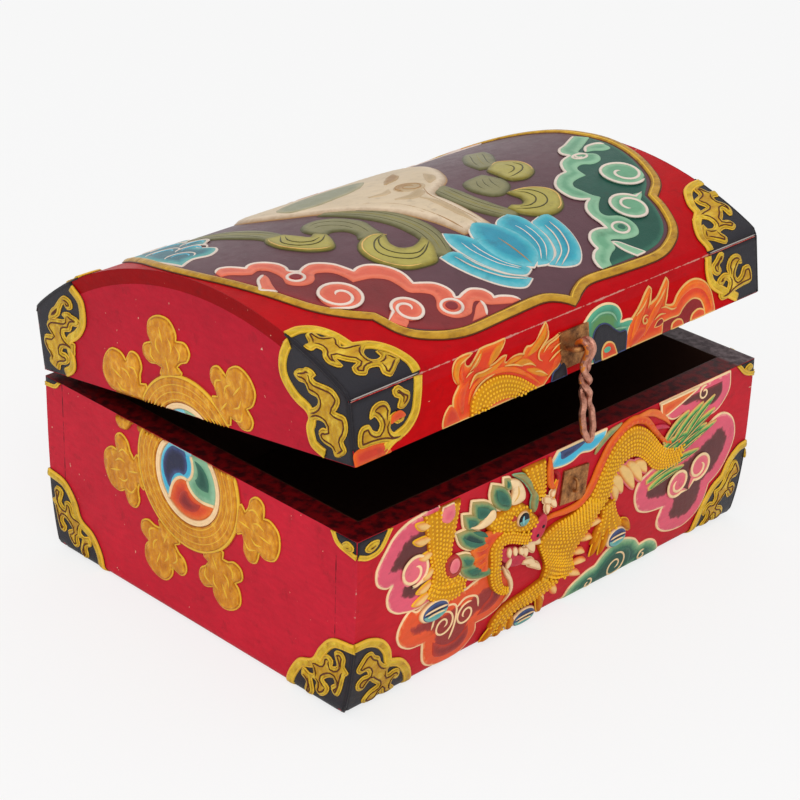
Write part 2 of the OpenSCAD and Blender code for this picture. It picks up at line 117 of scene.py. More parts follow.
def on_lid_wrap(u, v, h):
    """Over the lid: v is 0 at the crown, runs down the dome and on down the upright face."""
    side = -1 if v < 0 else 1
    run = abs(v)
    if run <= DOME_HALF:
        a = run / DOME_R
        y, z = (DOME_R + h) * math.sin(a), DOME_Z + (DOME_R + h) * math.cos(a)
    elif run <= DOME_HALF + ARRIS_R * ARRIS_TURN:
        a = ARRIS_TURN - (run - DOME_HALF) / ARRIS_R
        y, z = DOME_SPAN + (ARRIS_R + h) * math.cos(a), LID_SIDE_H + (ARRIS_R + h) * math.sin(a)
    else:
        y, z = HALF_DEPTH + h, LID_SIDE_H - (run - DOME_HALF - ARRIS_R * ARRIS_TURN)
    return stand_lid(u, side * y, z)


FRONT_RIM = -(DOME_HALF + ARRIS_R * ARRIS_TURN + LID_SIDE_H)


def on_lid_front(u, v, h):
    """The lid's front: v is the height above the rim."""
    return on_lid_wrap(u, FRONT_RIM + v, h)


def on_lid_back(u, v, h):
    return on_lid_wrap(u, -FRONT_RIM - v, h)


def on_base_back(u, v, h):
    return u, HALF_DEPTH - foot_at(v) + h, v


BASE_PLACES = (on_base_front, on_base_left, on_base_right, on_base_back)
LID_FACES = (on_lid_left, on_lid_right, on_lid_front, on_lid_back)


# ---------------------------------------------------------------- drawing
def curve(points, closed=True, step=0.8):
    """A smooth line through points; a point with a third value is a corner."""
    pts = [np.array(p[:2], float) for p in points]
    corner = [len(p) > 2 for p in points]
    n = len(pts)
    out = []
    for i in range(n if closed else n - 1):
        j = (i + 1) % n
        a, b = pts[i], pts[j]
        before = a if corner[i] or (not closed and i == 0) else pts[i - 1]
        after = b if corner[j] or (not closed and j == n - 1) else pts[(j + 1) % n]
        ta = (b - before) / 2 if before is not a else (b - a)
        tb = (after - a) / 2 if after is not b else (b - a)
        # tangents are held short, so that the line doesn't overshoot
        span = np.linalg.norm(b - a)
        ta *= min(1.0, 1.6 * span / max(np.linalg.norm(ta), TINY))
        tb *= min(1.0, 1.6 * span / max(np.linalg.norm(tb), TINY))
        count = max(2, int(span / step))
        for k in range(count):
            t = k / count
            h1, h2 = 2 * t**3 - 3 * t**2 + 1, t**3 - 2 * t**2 + t
            h3, h4 = -2 * t**3 + 3 * t**2, t**3 - t**2
            out.append(h1 * a + h2 * ta + h3 * b + h4 * tb)
    if not closed:
        out.append(pts[-1])
    return np.array(out)


def ring(u, v, ru, rv=None, start=0.0, end=360.0, count=40):
    """An ellipse, or an arc of one when start and end are given."""
    rv = ru if rv is None else rv
    whole = abs(end - start) >= 360
    a = np.radians(np.linspace(start, end, count, endpoint=not whole))
    return np.stack([u + ru * np.cos(a), v + rv * np.sin(a)], 1)


def swirl(u, v, r0, r1, start, turns, count=48):
    """A spiral from radius r0 to r1; turns is negative when it runs clockwise."""
    t = np.linspace(0, 1, count)
    a = math.radians(start) + 2 * math.pi * turns * t
    r = r0 + (r1 - r0) * t
    return np.stack([u + r * np.cos(a), v + r * np.sin(a)], 1)


def below(outline, top, over=False):
    """The part of an outline that lies below a level, or above it."""
    sign = -1 if over else 1
    out = []
    for a, b in zip(outline, np.roll(outline, -1, 0)):
        da, db = sign * (top - a[1]), sign * (top - b[1])
        if da >= 0:
            out.append(a)
        if (da > 0) != (db > 0) and da != db:
            out.append(a + (b - a) * da / (da - db))
    return np.array(out)


def inside(points, outline):
    """Which of the points lie inside a closed outline."""
    x, y = points[:, 0], points[:, 1]
    hit = np.zeros(len(points), bool)
    for a, b in zip(outline, np.roll(outline, -1, 0)):
        if a[1] == b[1]:
            continue
        crosses = (a[1] > y) != (b[1] > y)
        hit ^= crosses & (x < (b[0] - a[0]) * (y - a[1]) / (b[1] - a[1]) + a[0])
    return hit


def edge_distance(points, outline):
    """How far each point lies from a closed outline."""
    best = np.full(len(points), 1e9)
    for a, b in zip(outline, np.roll(outline, -1, 0)):
        d = b - a
        t = np.clip(((points - a) @ d) / max(d @ d, 1e-12), 0, 1)
        best = np.minimum(best, np.linalg.norm(points - a - t[:, None] * d, axis=1))
    return best


def area(outline):
    """The area of an outline, negative when it runs clockwise."""
    x, y = outline[:, 0], outline[:, 1]
    return 0.5 * np.sum(x * np.roll(y, -1) - np.roll(x, -1) * y)


def across(line, closed=False):
    """At each point of a line, the unit vector to its left."""
    if closed:
        run = np.roll(line, -1, 0) - np.roll(line, 1, 0)
    else:
        run = np.concatenate([line[1:], line[-1:]]) - np.concatenate([line[:1], line[:-1]])
    run /= np.maximum(np.linalg.norm(run, axis=1), TINY)[:, None]
    return np.stack([-run[:, 1], run[:, 0]], 1)


def distances(line):
    """How far along a line each of its points lies."""
    return np.concatenate([[0], np.cumsum(np.linalg.norm(np.diff(line, axis=0), axis=1))])


def points_at(line, at, stops):
    """Points of a line at the given stops, where at says how far along its own points lie."""
    return np.stack([np.interp(stops, at, line[:, k]) for k in (0, 1)], 1)


# ---------------------------------------------------------------- pieces
# the piece that is being drawn: its name and the place function of its face
Art = namedtuple("Art", "name place")
pieces = {}


def add_faces(art, flat, heights, faces, material, depth=None):
    """Collects geometry; all of one name becomes one piece.

    depth is how far in from its edge each point lies, and the paints read it.
    """
    empty = {"place": art.place, "verts": [], "faces": [], "mats": [], "slots": [], "depth": []}
    part = pieces.setdefault(art.name, empty)
    flat = np.array(flat, float)
    if art.place in BASE_PLACES:
        # the paint stops at the rim, which the lid shuts on, and at the table
        flat[:, 1] = np.clip(flat[:, 1], FOOT_CLEAR, BASE_H - RIM_CLEAR)
    elif art.place in LID_FACES:
        flat[:, 1] = np.maximum(flat[:, 1], RIM_CLEAR)
    if material not in part["slots"]:
        part["slots"].append(material)
    start = len(part["verts"])
    part["depth"] += [1.0] * len(flat) if depth is None else list(depth)
    part["verts"] += [art.place(p[0], p[1], h) for p, h in zip(flat, heights)]
    part["faces"] += [[start + i for i in face] for face in faces]
    part["mats"] += [part["slots"].index(material)] * len(faces)


def patch(art, outline, material, height=0.5, edge=1.0, level=0.0, grid=1.4, rough=0.0, holes=()):
    """A raised patch of gesso: flat on top, rounded down to its edge, closed underneath."""
    outline = np.asarray(outline, float)
    if area(outline) < 0:
        outline = outline[::-1]
    # inner points on a triangular grid, and two rows that follow the outline round its shoulder
    low, high = outline.min(0), outline.max(0)
    cols = np.arange(low[0] + grid / 2, high[0], grid)
    rows = np.arange(low[1] + grid / 2, high[1], grid * 0.87)
    mesh = np.array([(u + (grid / 2 if k % 2 else 0), v) for k, v in enumerate(rows) for u in cols])
    mesh = mesh.reshape(-1, 2)
    inward = across(outline, closed=True)
    shoulder = []
    for reach, clear in ((0.3, 0.22), (0.8, 0.6)):
        points = outline + inward * edge * reach
        shoulder.append(points[inside(points, outline) & (edge_distance(points, outline) > edge * clear)])
    mesh = mesh[inside(mesh, outline)]
    mesh = mesh[edge_distance(mesh, outline) > max(edge * 1.05, grid * 0.35)]
    flat = [outline] + [hole[::-1] if area(hole) > 0 else hole for hole in holes]
    extra = np.concatenate(shoulder + [mesh])
    edges, start = [], 0
    for loop in flat:
        edges += [(start + i, start + (i + 1) % len(loop)) for i in range(len(loop))]
        start += len(loop)
    for hole in flat[1:]:
        extra = extra[~inside(extra, hole)]
    given = [Vector(p) for p in np.concatenate(flat + [extra])]
    verts, _, tris = delaunay_2d_cdt(given, edges, [], 0, 1e-5, True)[:3]
    verts = np.array([tuple(v) for v in verts])
    mid = np.array([verts[list(t)].mean(0) for t in tris])
    keep = inside(mid, outline)
    for hole in flat[1:]:
        keep &= ~inside(mid, hole)
    tris = [list(t) for t, k in zip(tris, keep) if k]
    d = edge_distance(verts, outline)
    for hole in flat[1:]:
        d = np.minimum(d, edge_distance(verts, hole))
    # a quarter of the height stands at the edge, and the rest swells up over the shoulder
    t = np.clip(d / edge, 0, 1)
    swell = np.sqrt(np.maximum(0, 1 - (1 - t) ** 2))
    lumps = rough * (np.sin(verts[:, 0] * 1.9 + 3) * np.sin(verts[:, 1] * 2.3 + verts[:, 0]) * 0.5)
    top = level + height * (0.25 + 0.75 * swell) + lumps * t
    count = len(verts)
    border = set()
    for tri in tris:
        border.update((tri[i], tri[(i + 1) % 3]) for i in range(3))
    sides = [(a, b) for (a, b) in border if (b, a) not in border]
    faces = tris + [[count + i for i in reversed(t)] for t in tris]
    faces += [[b, a, count + a, count + b] for a, b in sides]
    heights = np.concatenate([top, np.full(count, level - PATCH_SINK)])
    add_faces(art, np.concatenate([verts, verts]), heights, faces, material, np.concatenate([d, d * 0]))


def bead(art, line, radius, material, level=0.0, closed=False, rise=0.9, taper=0.0, sides=6):
    """A half-round bead of gesso piped along a line, thinned over its ends by taper millimetres."""
    # the dome's pale lines are greyer than those on the upright faces
    if material == "cream" and art.place is on_lid_wrap:
        material = "chalk"
    line = np.asarray(line, float)
    side = across(line, closed)
    size = np.full(len(line), float(radius))
    if taper and not closed:
        at = distances(line)
        size *= np.clip(np.minimum(at, at[-1] - at) / taper, 0.12, 1) ** 0.6
    angles = np.linspace(0, math.pi, sides + 1)
    flat, heights, faces = [], [], []
    for p, s, r in zip(line, side, size):
        for a in angles:
            flat.append(p + s * r * math.cos(a))
            heights.append(level - BEAD_SINK + (BEAD_SINK + r * rise) * math.sin(a))
    per = sides + 1
    n = len(line)
    for i in range(n if closed else n - 1):
        j = (i + 1) % n
        for k in range(sides):
            faces.append([i * per + k, j * per + k, j * per + k + 1, i * per + k + 1][::-1])
        faces.append([i * per, j * per, j * per + sides, i * per + sides])
    if not closed:
        faces.append(list(range(per)))
        faces.append([(n - 1) * per + k for k in reversed(range(per))])
    add_faces(art, np.array(flat), heights, faces, material)


def stroke(art, points, radius, material, level, **more):
    """A bead along a smooth open line through points."""
    bead(art, curve(points, closed=False), radius, material, level, **more)


def dots(art, spots, radius, material, level=0.0, rise=0.8):
    """Small raised pips at the given spots, each with seven sides."""
    flat, heights, faces = [], [], []
    count = 7
    for u, v in spots:
        start = len(flat)
        for r, h in ((1.0, -BEAD_SINK), (0.72, 0.62 * rise), (0.0, rise)):
            for k in range(count if r else 1):
                a = 2 * math.pi * k / count
                flat.append((u + radius * r * math.cos(a), v + radius * r * math.sin(a)))
                heights.append(level + radius * h)
        for k in range(count):
            m = (k + 1) % count
            faces.append([start + k, start + m, start + count + m, start + count + k])
            faces.append([start + count + k, start + count + m, start + 2 * count])
        faces.append([start + k for k in reversed(range(count))])
    add_faces(art, flat, heights, faces, material)


def build_pieces():
    """Makes an object of each collected piece and lets it ride on the base or the lid."""
    for name, part in pieces.items():
        mesh = bpy.data.meshes.new(name)
        mesh.from_pydata([tuple(c * MM for c in v) for v in part["verts"]], [], part["faces"])
        for slot in part["slots"]:
            mesh.materials.append(paint(slot))
        mesh.polygons.foreach_set("material_index", part["mats"])
        mesh.polygons.foreach_set("use_smooth", [True] * len(part["faces"]))
        mesh.attributes.new("depth", "FLOAT", "POINT").data.foreach_set("value", part["depth"])
        shell = bmesh.new()
        shell.from_mesh(mesh)
        loose = [v for v in shell.verts if not v.link_faces]
        bmesh.ops.delete(shell, geom=loose, context="VERTS")
        bmesh.ops.recalc_face_normals(shell, faces=shell.faces)
        shell.to_mesh(mesh)
        shell.free()
        piece = bpy.data.objects.new(name, mesh)
        bpy.context.collection.objects.link(piece)
        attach(piece, "base" if part["place"] in BASE_PLACES else "lid")
        if name in STANDS_FOR:
            nodes = STANDS_FOR[name]
            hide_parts(*([nodes] if isinstance(nodes, str) else nodes))


# ---------------------------------------------------------------- ornaments
def cloud(art, outline, material, height=1.0, line=0.68, edge=1.6, level=0.0, rim="cream", grid=1.4):
    """A padded cloud or body with a piped line round it."""
    shape = outline if isinstance(outline, np.ndarray) else curve(outline)
    patch(art, shape, material, height, edge, level, grid, rough=0.12)
    if line:
        bead(art, shape, line, rim, level, closed=True)


def curl(art, u, v, r, start, turns, material="cream", width=0.52, level=0.95):
    """A piped spiral that winds in to its centre."""
    bead(art, swirl(u, v, r, r * 0.22, start, turns), width, material, level, taper=2.0)


def leaf(art, base, tip, width, bend=0.0, material="leaf", level=0.0, height=1.3, rim="gold_pale",
         line=0.55):
    """A pointed leaf from base to tip, bent sideways by bend."""
    base, tip = np.array(base, float), np.array(tip, float)
    along = tip - base
    side = np.array([-along[1], along[0]]) / max(np.linalg.norm(along), TINY)
    t = np.linspace(0, 1, 15)
    spine = base + t[:, None] * along + np.outer(np.sin(math.pi * t) * bend, side)
    half = width / 2 * np.sin(math.pi * np.clip(t * 0.9 + 0.1, 0, 1)) ** 0.75
    half[-1] = 0.05
    shape = np.concatenate([spine + side * half[:, None], (spine - side * half[:, None])[::-1]])
    patch(art, shape, material, height, min(width * 0.35, 1.4), level, 1.2)
    if line:
        bead(art, shape, line, rim, level, closed=True, sides=5)
    if material in ("flame", "fin"):
        bead(art, spine[1:-3], 0.32, rim, level + height, rise=0.7, taper=4, sides=4)


def ribbon(art, points, width, material, level=0.0, height=0.9, taper=(0.3, 0.2), line=0.0, rim="cream"):
    """A band along a line, narrowed towards its ends."""
    spine = curve(points, closed=False, step=1.4)
    side = across(spine)
    t = np.linspace(0, 1, len(spine))
    start, end = taper
    half = width / 2 * np.minimum(1, start + (1 - start) * t / 0.3)
    half *= np.minimum(1, end + (1 - end) * (1 - t) / 0.35)
    shape = np.concatenate([spine + side * half[:, None], (spine - side * half[:, None])[::-1]])
    patch(art, shape, material, height, min(width * 0.3, 1.8), level, 1.2)
    if line:
        bead(art, shape, line, rim, level, closed=True, sides=5)


def snail(art, u, v, r, start, turns, material, tail=None, level=0.6):
    """A painted snail curl: a padded disc, its tail, and a piped line that winds in."""
    way = 1 if turns > 0 else -1
    angles = np.radians(start + way * np.arange(20, 341, 8))
    outer = np.stack([u + r * np.cos(angles), v + r * 0.96 * np.sin(angles)], 1)
    if tail is not None:
        outer = np.concatenate([outer, [tail]])
    patch(art, curve(outer), material, 0.8, 1.2, level, 1.2, rough=0.1)
    # the line keeps to the rim for most of a turn before it winds in
    wound = np.linspace(0, abs(turns), 60)
    reach = r * np.interp(wound, (0, 0.72, 1.0, 1.25, 1.7), (1, 0.98, 0.7, 0.46, 0.2))
    turn = np.radians(start + way * 360 * wound)
    line = np.stack([u + reach * np.cos(turn), v + 0.96 * reach * np.sin(turn)], 1)
    if tail is not None:
        line = np.concatenate([[tail], line])
    bead(art, line, 0.75, "cream", level + 0.75, rise=0.7, taper=2.5, sides=5)


def pips(art, line, gap, radius, material, level):
    """A row of pips along a line."""
    line = np.asarray(line, float)
    at = distances(line)
    spots = points_at(line, at, np.arange(gap / 2, at[-1], gap))
    dots(art, spots, radius, material, level)


def scaled_body(art, left, right, rows, height=1.8, level=0.0, gap=1.9, radius=0.8):
    """A dragon's body between two edges, with rows of pips along it."""
    edges = []
    for points in (left, right):
        line = curve(points, closed=False, step=2.0)
        at = distances(line)
        edges.append(points_at(line, at / at[-1], np.linspace(0, 1, 60)))
    a, b = edges
    patch(art, np.concatenate([a, b[::-1]]), "dragon", height, 2.2, level, 1.5)
    for k in range(rows):
        f = (k + 0.5) / rows
        line = a + (b - a) * f
        crown = level + height * (0.8 + 0.2 * math.sin(math.pi * f)) - 0.25
        # raised pips in a bright paint that is partly a painted highlight
        pips(art, line[k % 2 :], gap, radius, "gold_bright", crown)


def pearl(art, u, v, r, colours=("cream", "teal", "navy"), level=0.6, squash=1.0):
    """A ball in a claw: a pale rim, a dark half and a bright half with piped arcs between."""
    patch(art, ring(u, v, r, r * squash), colours[0], 1.6, r * 0.35, level, 1.0)
    patch(art, ring(u, v, r * 0.84, r * 0.84 * squash), colours[2], 0.5, r * 0.25, level + 1.4, 0.9)
    turn = np.radians(np.linspace(188, 352, 22))
    bowl = [(u + r * 0.8 * math.cos(a), v + r * 0.76 * squash * math.sin(a)) for a in turn]
    chord = [(u + r * 0.4, v - r * 0.02), (u - r * 0.4, v - r * 0.02)]
    patch(art, curve(bowl + chord), colours[1], 0.3, r * 0.15, level + 1.75, 0.8)
    if r > 5:
        turn = np.radians(np.linspace(170, 10, 12))
        for f, lift in ((0.78, 0.12), (0.62, -0.3)):
            arc = [(u + r * f * math.cos(a), v + r * squash * (lift + 0.18 * math.sin(a))) for a in turn]
            stroke(art, arc, 0.45, colours[0], level + 1.95, taper=2, sides=4)


# ---------------------------------------------------------------- the ends
KNOB_ANGLES = (-9, 43, 101, 149, 196, 247, 299)
KNOB_HALF = [(0.4, 6.8), (4.0, 5.2, 1), (5.6, 8.6), (6.2, 12.8), (9.6, 15.8), (13.6, 14.2), (14.6, 8.4, 1),
             (18.4, 9.4), (23.2, 7.2), (25.2, 2.6)]
KNOB = curve(KNOB_HALF + [(out, -wide, *c) for out, wide, *c in KNOB_HALF[::-1]], step=1.0)
# brushed bright lines on a knob, which are also painted highlights: how far out, how far across, and how
# bent
KNOB_LINES = ((5, 0, 0), (9.5, 8.6, 3.0), (9.5, -8.6, -3.0), (17.5, 0, 0), (13, 4.0, 2.0), (13, -4.5, -2.0))
BRUSHED_HIGHLIGHT = ((-3.4, -0.4), (0, 0.4), (3.8, -0.2))
# rings: inner and outer radius, paint, height and rounding
RINGS = (
    (20.4, 31.6, "wheel_gold", 1.2, 0.9),
    (19.8, 20.6, "wheel_orange", 0.8, 0.4),
    (17.6, 19.8, "cream", 1.0, 0.7),
)
# the hub's commas: outer and core colour, the angles they run between, and the core's share
COMMAS = (
    ("cyan", "navy", 92, 227, 0.74),
    ("orange", "ember", 227, 341, 0.5),
    ("green_pale", "green_dark", 341, 452, 0.5),
)


def cut_ring(r, drop, lower, count):
    """The arc of a circle below a level that lies drop over its centre, or above it."""
    a = math.degrees(math.asin(min(1, drop / r)))
    start, end = (180 - a, 360 + a) if lower else (a, 180 - a)
    return ring(0, 0, r, start=start, end=end, count=count)


def wheel_sector(r0, r1, drop, lower):
    """A band of the wheel, cut level where base and lid part: its outline and its hole."""
    def arc(r):
        if r <= drop:
            return ring(0, 0, r) if lower else None
        return cut_ring(r, drop, lower, 70 if lower else 40)

    outer, inner = arc(r1), arc(r0)
    if inner is None or r0 <= drop:
        return outer, inner
    return np.concatenate([outer, inner[::-1]]), None


def lane(end):
    """The bent edge between two commas, from the hub's centre to its rim."""
    t = np.linspace(0, 1, 14)
    turn = np.radians(end - 62 * (1 - t) ** 1.3)
    return np.stack([HUB_R * t * np.cos(turn), HUB_R * t * np.sin(turn)], 1)


def wheel(art, lower):
    """The wheel of joy on an end, with its knobs; the lid carries its top."""
    drop = WHEEL_DROP - SEAM_CLEAR if lower else WHEEL_DROP + RIM_GAP + SEAM_CLEAR
    at = np.array([WHEEL_U, BASE_H - WHEEL_DROP if lower else -WHEEL_DROP - RIM_GAP])
    top = at[1] + drop

    def keep(shape):
        return below(shape, top, over=not lower)

    # three-lobed knobs on short stems
    for k, angle in enumerate(KNOB_ANGLES):
        turn = math.radians(angle)
        way = np.array([math.cos(turn), math.sin(turn)])
        wide = np.array([-math.sin(turn), math.cos(turn)])
        reach, sway = 1.05 - 0.04 * math.cos(3.0 * k), 1 + 0.06 * math.sin(5.0 * k)
        whole = at + np.outer(KNOB_R + KNOB[:, 0] * reach, way) + np.outer(KNOB[:, 1] * sway, wide)
        shape = keep(whole)
        if len(shape) < 8 or abs(area(shape)) < 30:
            continue
        patch(art, shape, "wheel_gold", 1.25, 1.5, 0, 1.4, rough=0.16)
        cut = len(shape) != len(whole)
        rim = whole[(whole[:, 1] < top) == lower] if cut else whole
        mostly_whole = len(rim) > 0.45 * len(whole)
        if mostly_whole and (not cut or np.linalg.norm(np.diff(rim, axis=0), axis=1).max() < 4):
            bead(art, rim, 0.5, "gilt_bright", 0.25, closed=not cut, sides=5)
        # bright strokes on each knob: brush marks that also serve as painted highlights
        for out, over, bow in KNOB_LINES:
            line = [at + way * (KNOB_R + (out + da)) + wide * (over + bow * db) for da, db in BRUSHED_HIGHLIGHT]
            heights = [point[1] for point in line]
            if max(heights) < top - 2 if lower else min(heights) > top + 2:
                stroke(art, line, 0.55, "gilt_bright", 1.2, rise=0.6, taper=3, sides=4)
    for r0, r1, material, height, edge in RINGS:
        shape, hole = wheel_sector(r0, r1, drop, lower)
        if shape is not None:
            holes = [] if hole is None else [hole + at]
            patch(art, shape + at, material, height, edge, 0, 1.5, holes=holes)

    def arcs(r, width, material, level, rise=0.9):
        if r > drop or lower:
            line = cut_ring(r, drop, lower, 90 if lower else 50)
            bead(art, line + at, width, material, level, rise=rise, taper=1.6, sides=5)

    arcs(31.7, 0.9, "gilt_bright", 0.3)
    arcs(32.8, 0.5, "red_line", -0.1)
    for k, r in enumerate((21.8, 23.4, 25.0, 26.6, 28.2, 29.8)):
        arcs(r, 0.5 + 0.16 * (k % 2), "wheel_gold" if k % 2 else "gilt_bright", 0.95, 0.55)
    arcs(19.8, 0.6, "cream", 0.65)
    # the three commas of the hub: an outer colour, a core, and piped lines between them
    for outer, core, a0, a1, share in COMMAS:
        rim = ring(at[0], at[1], HUB_R, start=a0, end=a1, count=26)
        whole = np.concatenate([at + lane(a0)[:-1], rim, at + lane(a1)[::-1][1:-1]])
        shape = keep(whole)
        if len(shape) > 5:
            patch(art, shape, outer, 0.9, 1.4, 0, 1.3)
        turn = math.radians((a0 + a1) / 2 - 12)
        middle = at + 0.62 * HUB_R * np.array([math.cos(turn), math.sin(turn)])
        shape = keep(middle + (whole - middle) * share)
        if lower and len(shape) > 5:
            patch(art, shape, core, 0.25, 0.5, 0.8, 1.1)
    if lower:
        for comma in COMMAS:
            line = at + lane(comma[2])
            bead(art, line[line[:, 1] < top], 0.8, "cream", 0.6, sides=5)


def within(place, line):
    """A line held inside the outline of the base's face, which narrows at the foot."""
    line = np.array(line, float)
    if place in (on_base_left, on_base_right):
        reach = [HALF_DEPTH - foot_at(v) - FOOT_CLEAR for v in line[:, 1]]
    elif place in (on_base_front, on_base_back):
        reach = [HALF_LEN - foot_curl(v) - FOOT_CLEAR for v in line[:, 1]]
    else:
        return line
    line[:, 0] = np.clip(line[:, 0], -np.array(reach), reach)
    return line


def dense(points, step=2.0):
    """A closed outline with points added along its long sides."""
    out = []
    for p, q in zip(points, np.roll(points, -1, 0)):
        count = max(1, int(np.linalg.norm(q - p) / step))
        out += [p + (q - p) * k / count for k in range(count)]
    return np.array(out)


def corner(art, border, figures=(), fit=(1, 0, 1, 0), closing=(), band=2.2, limit=None):
    """A corner panel: a lobed gilt border, a black ground and thick gilt figures.

    figures holds closed outlines, and fit scales and moves them; closing completes the ground;
    limit gives the height that the figures stay under.
    """
    ku, du, kv, dv = fit
    edge = curve(border, closed=False, step=1.2)
    shape = within(art.place, dense(np.concatenate([edge, np.array(closing, float)])))
    patch(art, shape, "black", 0.35, 0.3, 0, 2.2)
    bead(art, inset_line(edge, shape, band), band, "gilt", 0.15, rise=0.5, sides=6)
    # bright gilt lines along the border's ridges: painted highlights
    bead(art, inset_line(edge, shape, band * 0.35), band * 0.4, "gilt_bright", 0.5, rise=0.8, sides=5)
    bead(art, inset_line(edge, shape, band * 1.55), band * 0.32, "gilt_bright", 0.55, rise=0.7, sides=5)
    for figure in figures:
        line = within(art.place, curve([(ku * u + du, kv * v + dv, *c) for u, v, *c in figure], step=1.0))
        if limit is not None:
            line[:, 1] = np.minimum(line[:, 1], limit(line[:, 0]))
        patch(art, line, "gilt", 0.95, 0.9, 0.3, 1.1, rough=0.22)
        # a bright gilt line round each figure: a painted highlight
        shrunk = line + (line.mean(0) - line) * 0.02
        bead(art, shrunk, 0.42, "gilt_bright", 0.55, closed=True, rise=0.8, sides=4)
        engrave(art, line)


def engrave(art, outline, depth=1.7):
    """A dark line that follows a gilt figure's outline inside it, where there is room."""
    inner = outline + (depth if area(outline) > 0 else -depth) * across(outline, closed=True)
    good = inside(inner, outline) & (edge_distance(inner, outline) > depth * 0.88)
    starts = np.flatnonzero(good & ~np.roll(good, 1))
    for start in starts:
        length = 0
        while good[(start + length) % len(good)] and length < len(good):
            length += 1
        if length > 3:
            piece = inner[np.arange(start, start + length) % len(good)]
            bead(art, piece, 0.38, "brown", 1.36, rise=0.5, taper=1.5, sides=4)


def inset_line(line, shape, distance):
    """A line moved into a shape that it bounds."""
    side = across(line)
    middle = len(line) // 2
    probe = line[middle : middle + 1] + side[middle] * 0.5
    return line + side * distance * (1 if inside(probe, shape)[0] else -1)


END_LOW_FRONT = [(58.5, 0.2), (61, 8), (66.5, 16), (74.5, 20), (79, 27.5), (86, 34.5), (98.2, 36.8)]
END_LOW_BACK = [(-98.2, 38), (-86.5, 36), (-79, 28.5), (-75.5, 21), (-67.5, 17), (-61.5, 9), (-59.5, 0.2)]
END_TOP_FRONT = [(84, 83.3), (88, 78), (98.2, 75.5)]
END_TOP_GILT = ([(91, 80), (94, 82), (97, 80.6), (96, 78.4), (93, 78)],)
END_TOP_BACK = [(-98.2, 79), (-91, 80), (-87.5, 83.3)]
LID_END_FRONT = [(82, 0.3), (75, 4), (73.5, 12), (76, 17, 1), (67, 22), (61, 30), (61.6, 39), (67, 47.5)]
LID_END_BACK = [(-81, 0.3), (-75, 4), (-74, 11), (-76, 16, 1), (-68, 21), (-63, 28), (-63, 38), (-69, 44)]
LOW_GILT = (
    [(88, 29), (91.6, 30.6), (93.8, 28.4), (93.4, 24.4), (95.8, 22.6), (94, 20.6), (93, 17.6), (91.8, 12.8),
     (89.8, 9), (87.2, 9.4), (86.4, 12), (88.6, 14), (87.6, 16.6), (84.4, 15.6), (81.4, 12.6), (84.6, 10.4),
     (83, 6.6), (79.6, 4.4), (77, 6.4), (77.6, 9.8), (74.4, 10.6), (75.6, 4.4), (73.4, 1.4), (70.6, 3),
     (71.4, 7.4), (68.4, 9.4), (69.6, 13), (73, 11.8), (75.8, 13), (74.6, 16.6), (71, 17.6), (76, 20),
     (80.4, 20.6), (81.4, 24), (84, 25.6), (86.6, 24.4), (86.4, 21.4), (89.6, 23.4)],
)
LID_END_GILT = (
    [(69, 32.6), (71, 34.6), (74.8, 35.6), (76, 36.4), (79, 36.2), (81.4, 34.6), (79.4, 33.2), (81, 31.6),
     (86.6, 31), (91, 30), (93.8, 26.8), (92.4, 23.4), (90.2, 21, 1), (93.5, 20.6), (96.4, 20),
     (97.2, 16.2), (95.9, 12.4), (93.8, 9.4), (95.2, 6), (92.4, 3.4), (88.9, 2.2), (87.6, 5.4), (83.4, 6.6),
     (81, 8.4), (80.8, 11), (83, 12.6), (85.4, 12.8), (84.4, 15.4), (80.4, 16), (77.2, 14.4), (76, 13),
     (75.4, 16.6), (75, 19.4), (78.4, 20), (81.6, 22.4), (81.6, 25.4), (77, 26.6), (75, 30), (71.6, 30.4)],
)
LID_END_HOOK = [
    (92, 30), (89.5, 35), (86, 38), (82.5, 42), (78.5, 45), (74, 43.5), (73.5, 39.6), (77, 38.4),
    (79.4, 41), (82, 37.6), (84, 33.6), (88, 31),
]


def under_dome(u, depth=0.35):
    """The height at u on a lid's end, this deep under the dome."""
    return DOME_Z + np.sqrt((DOME_R - depth) ** 2 - u * u)


def arris(art, start, stop, radius=0.7, worn=False):
    """Black paint carried over a corner of the box, with a pale line where it is worn."""
    t = np.linspace(0, 1, 14)[:, None]
    line = np.array(start) * (1 - t) + np.array(stop) * t
    bead(art, line, radius, "black", -0.15, sides=6)
    if worn:
        bead(art, line, radius * 0.4, "worn", radius * 0.55, taper=2, sides=4)


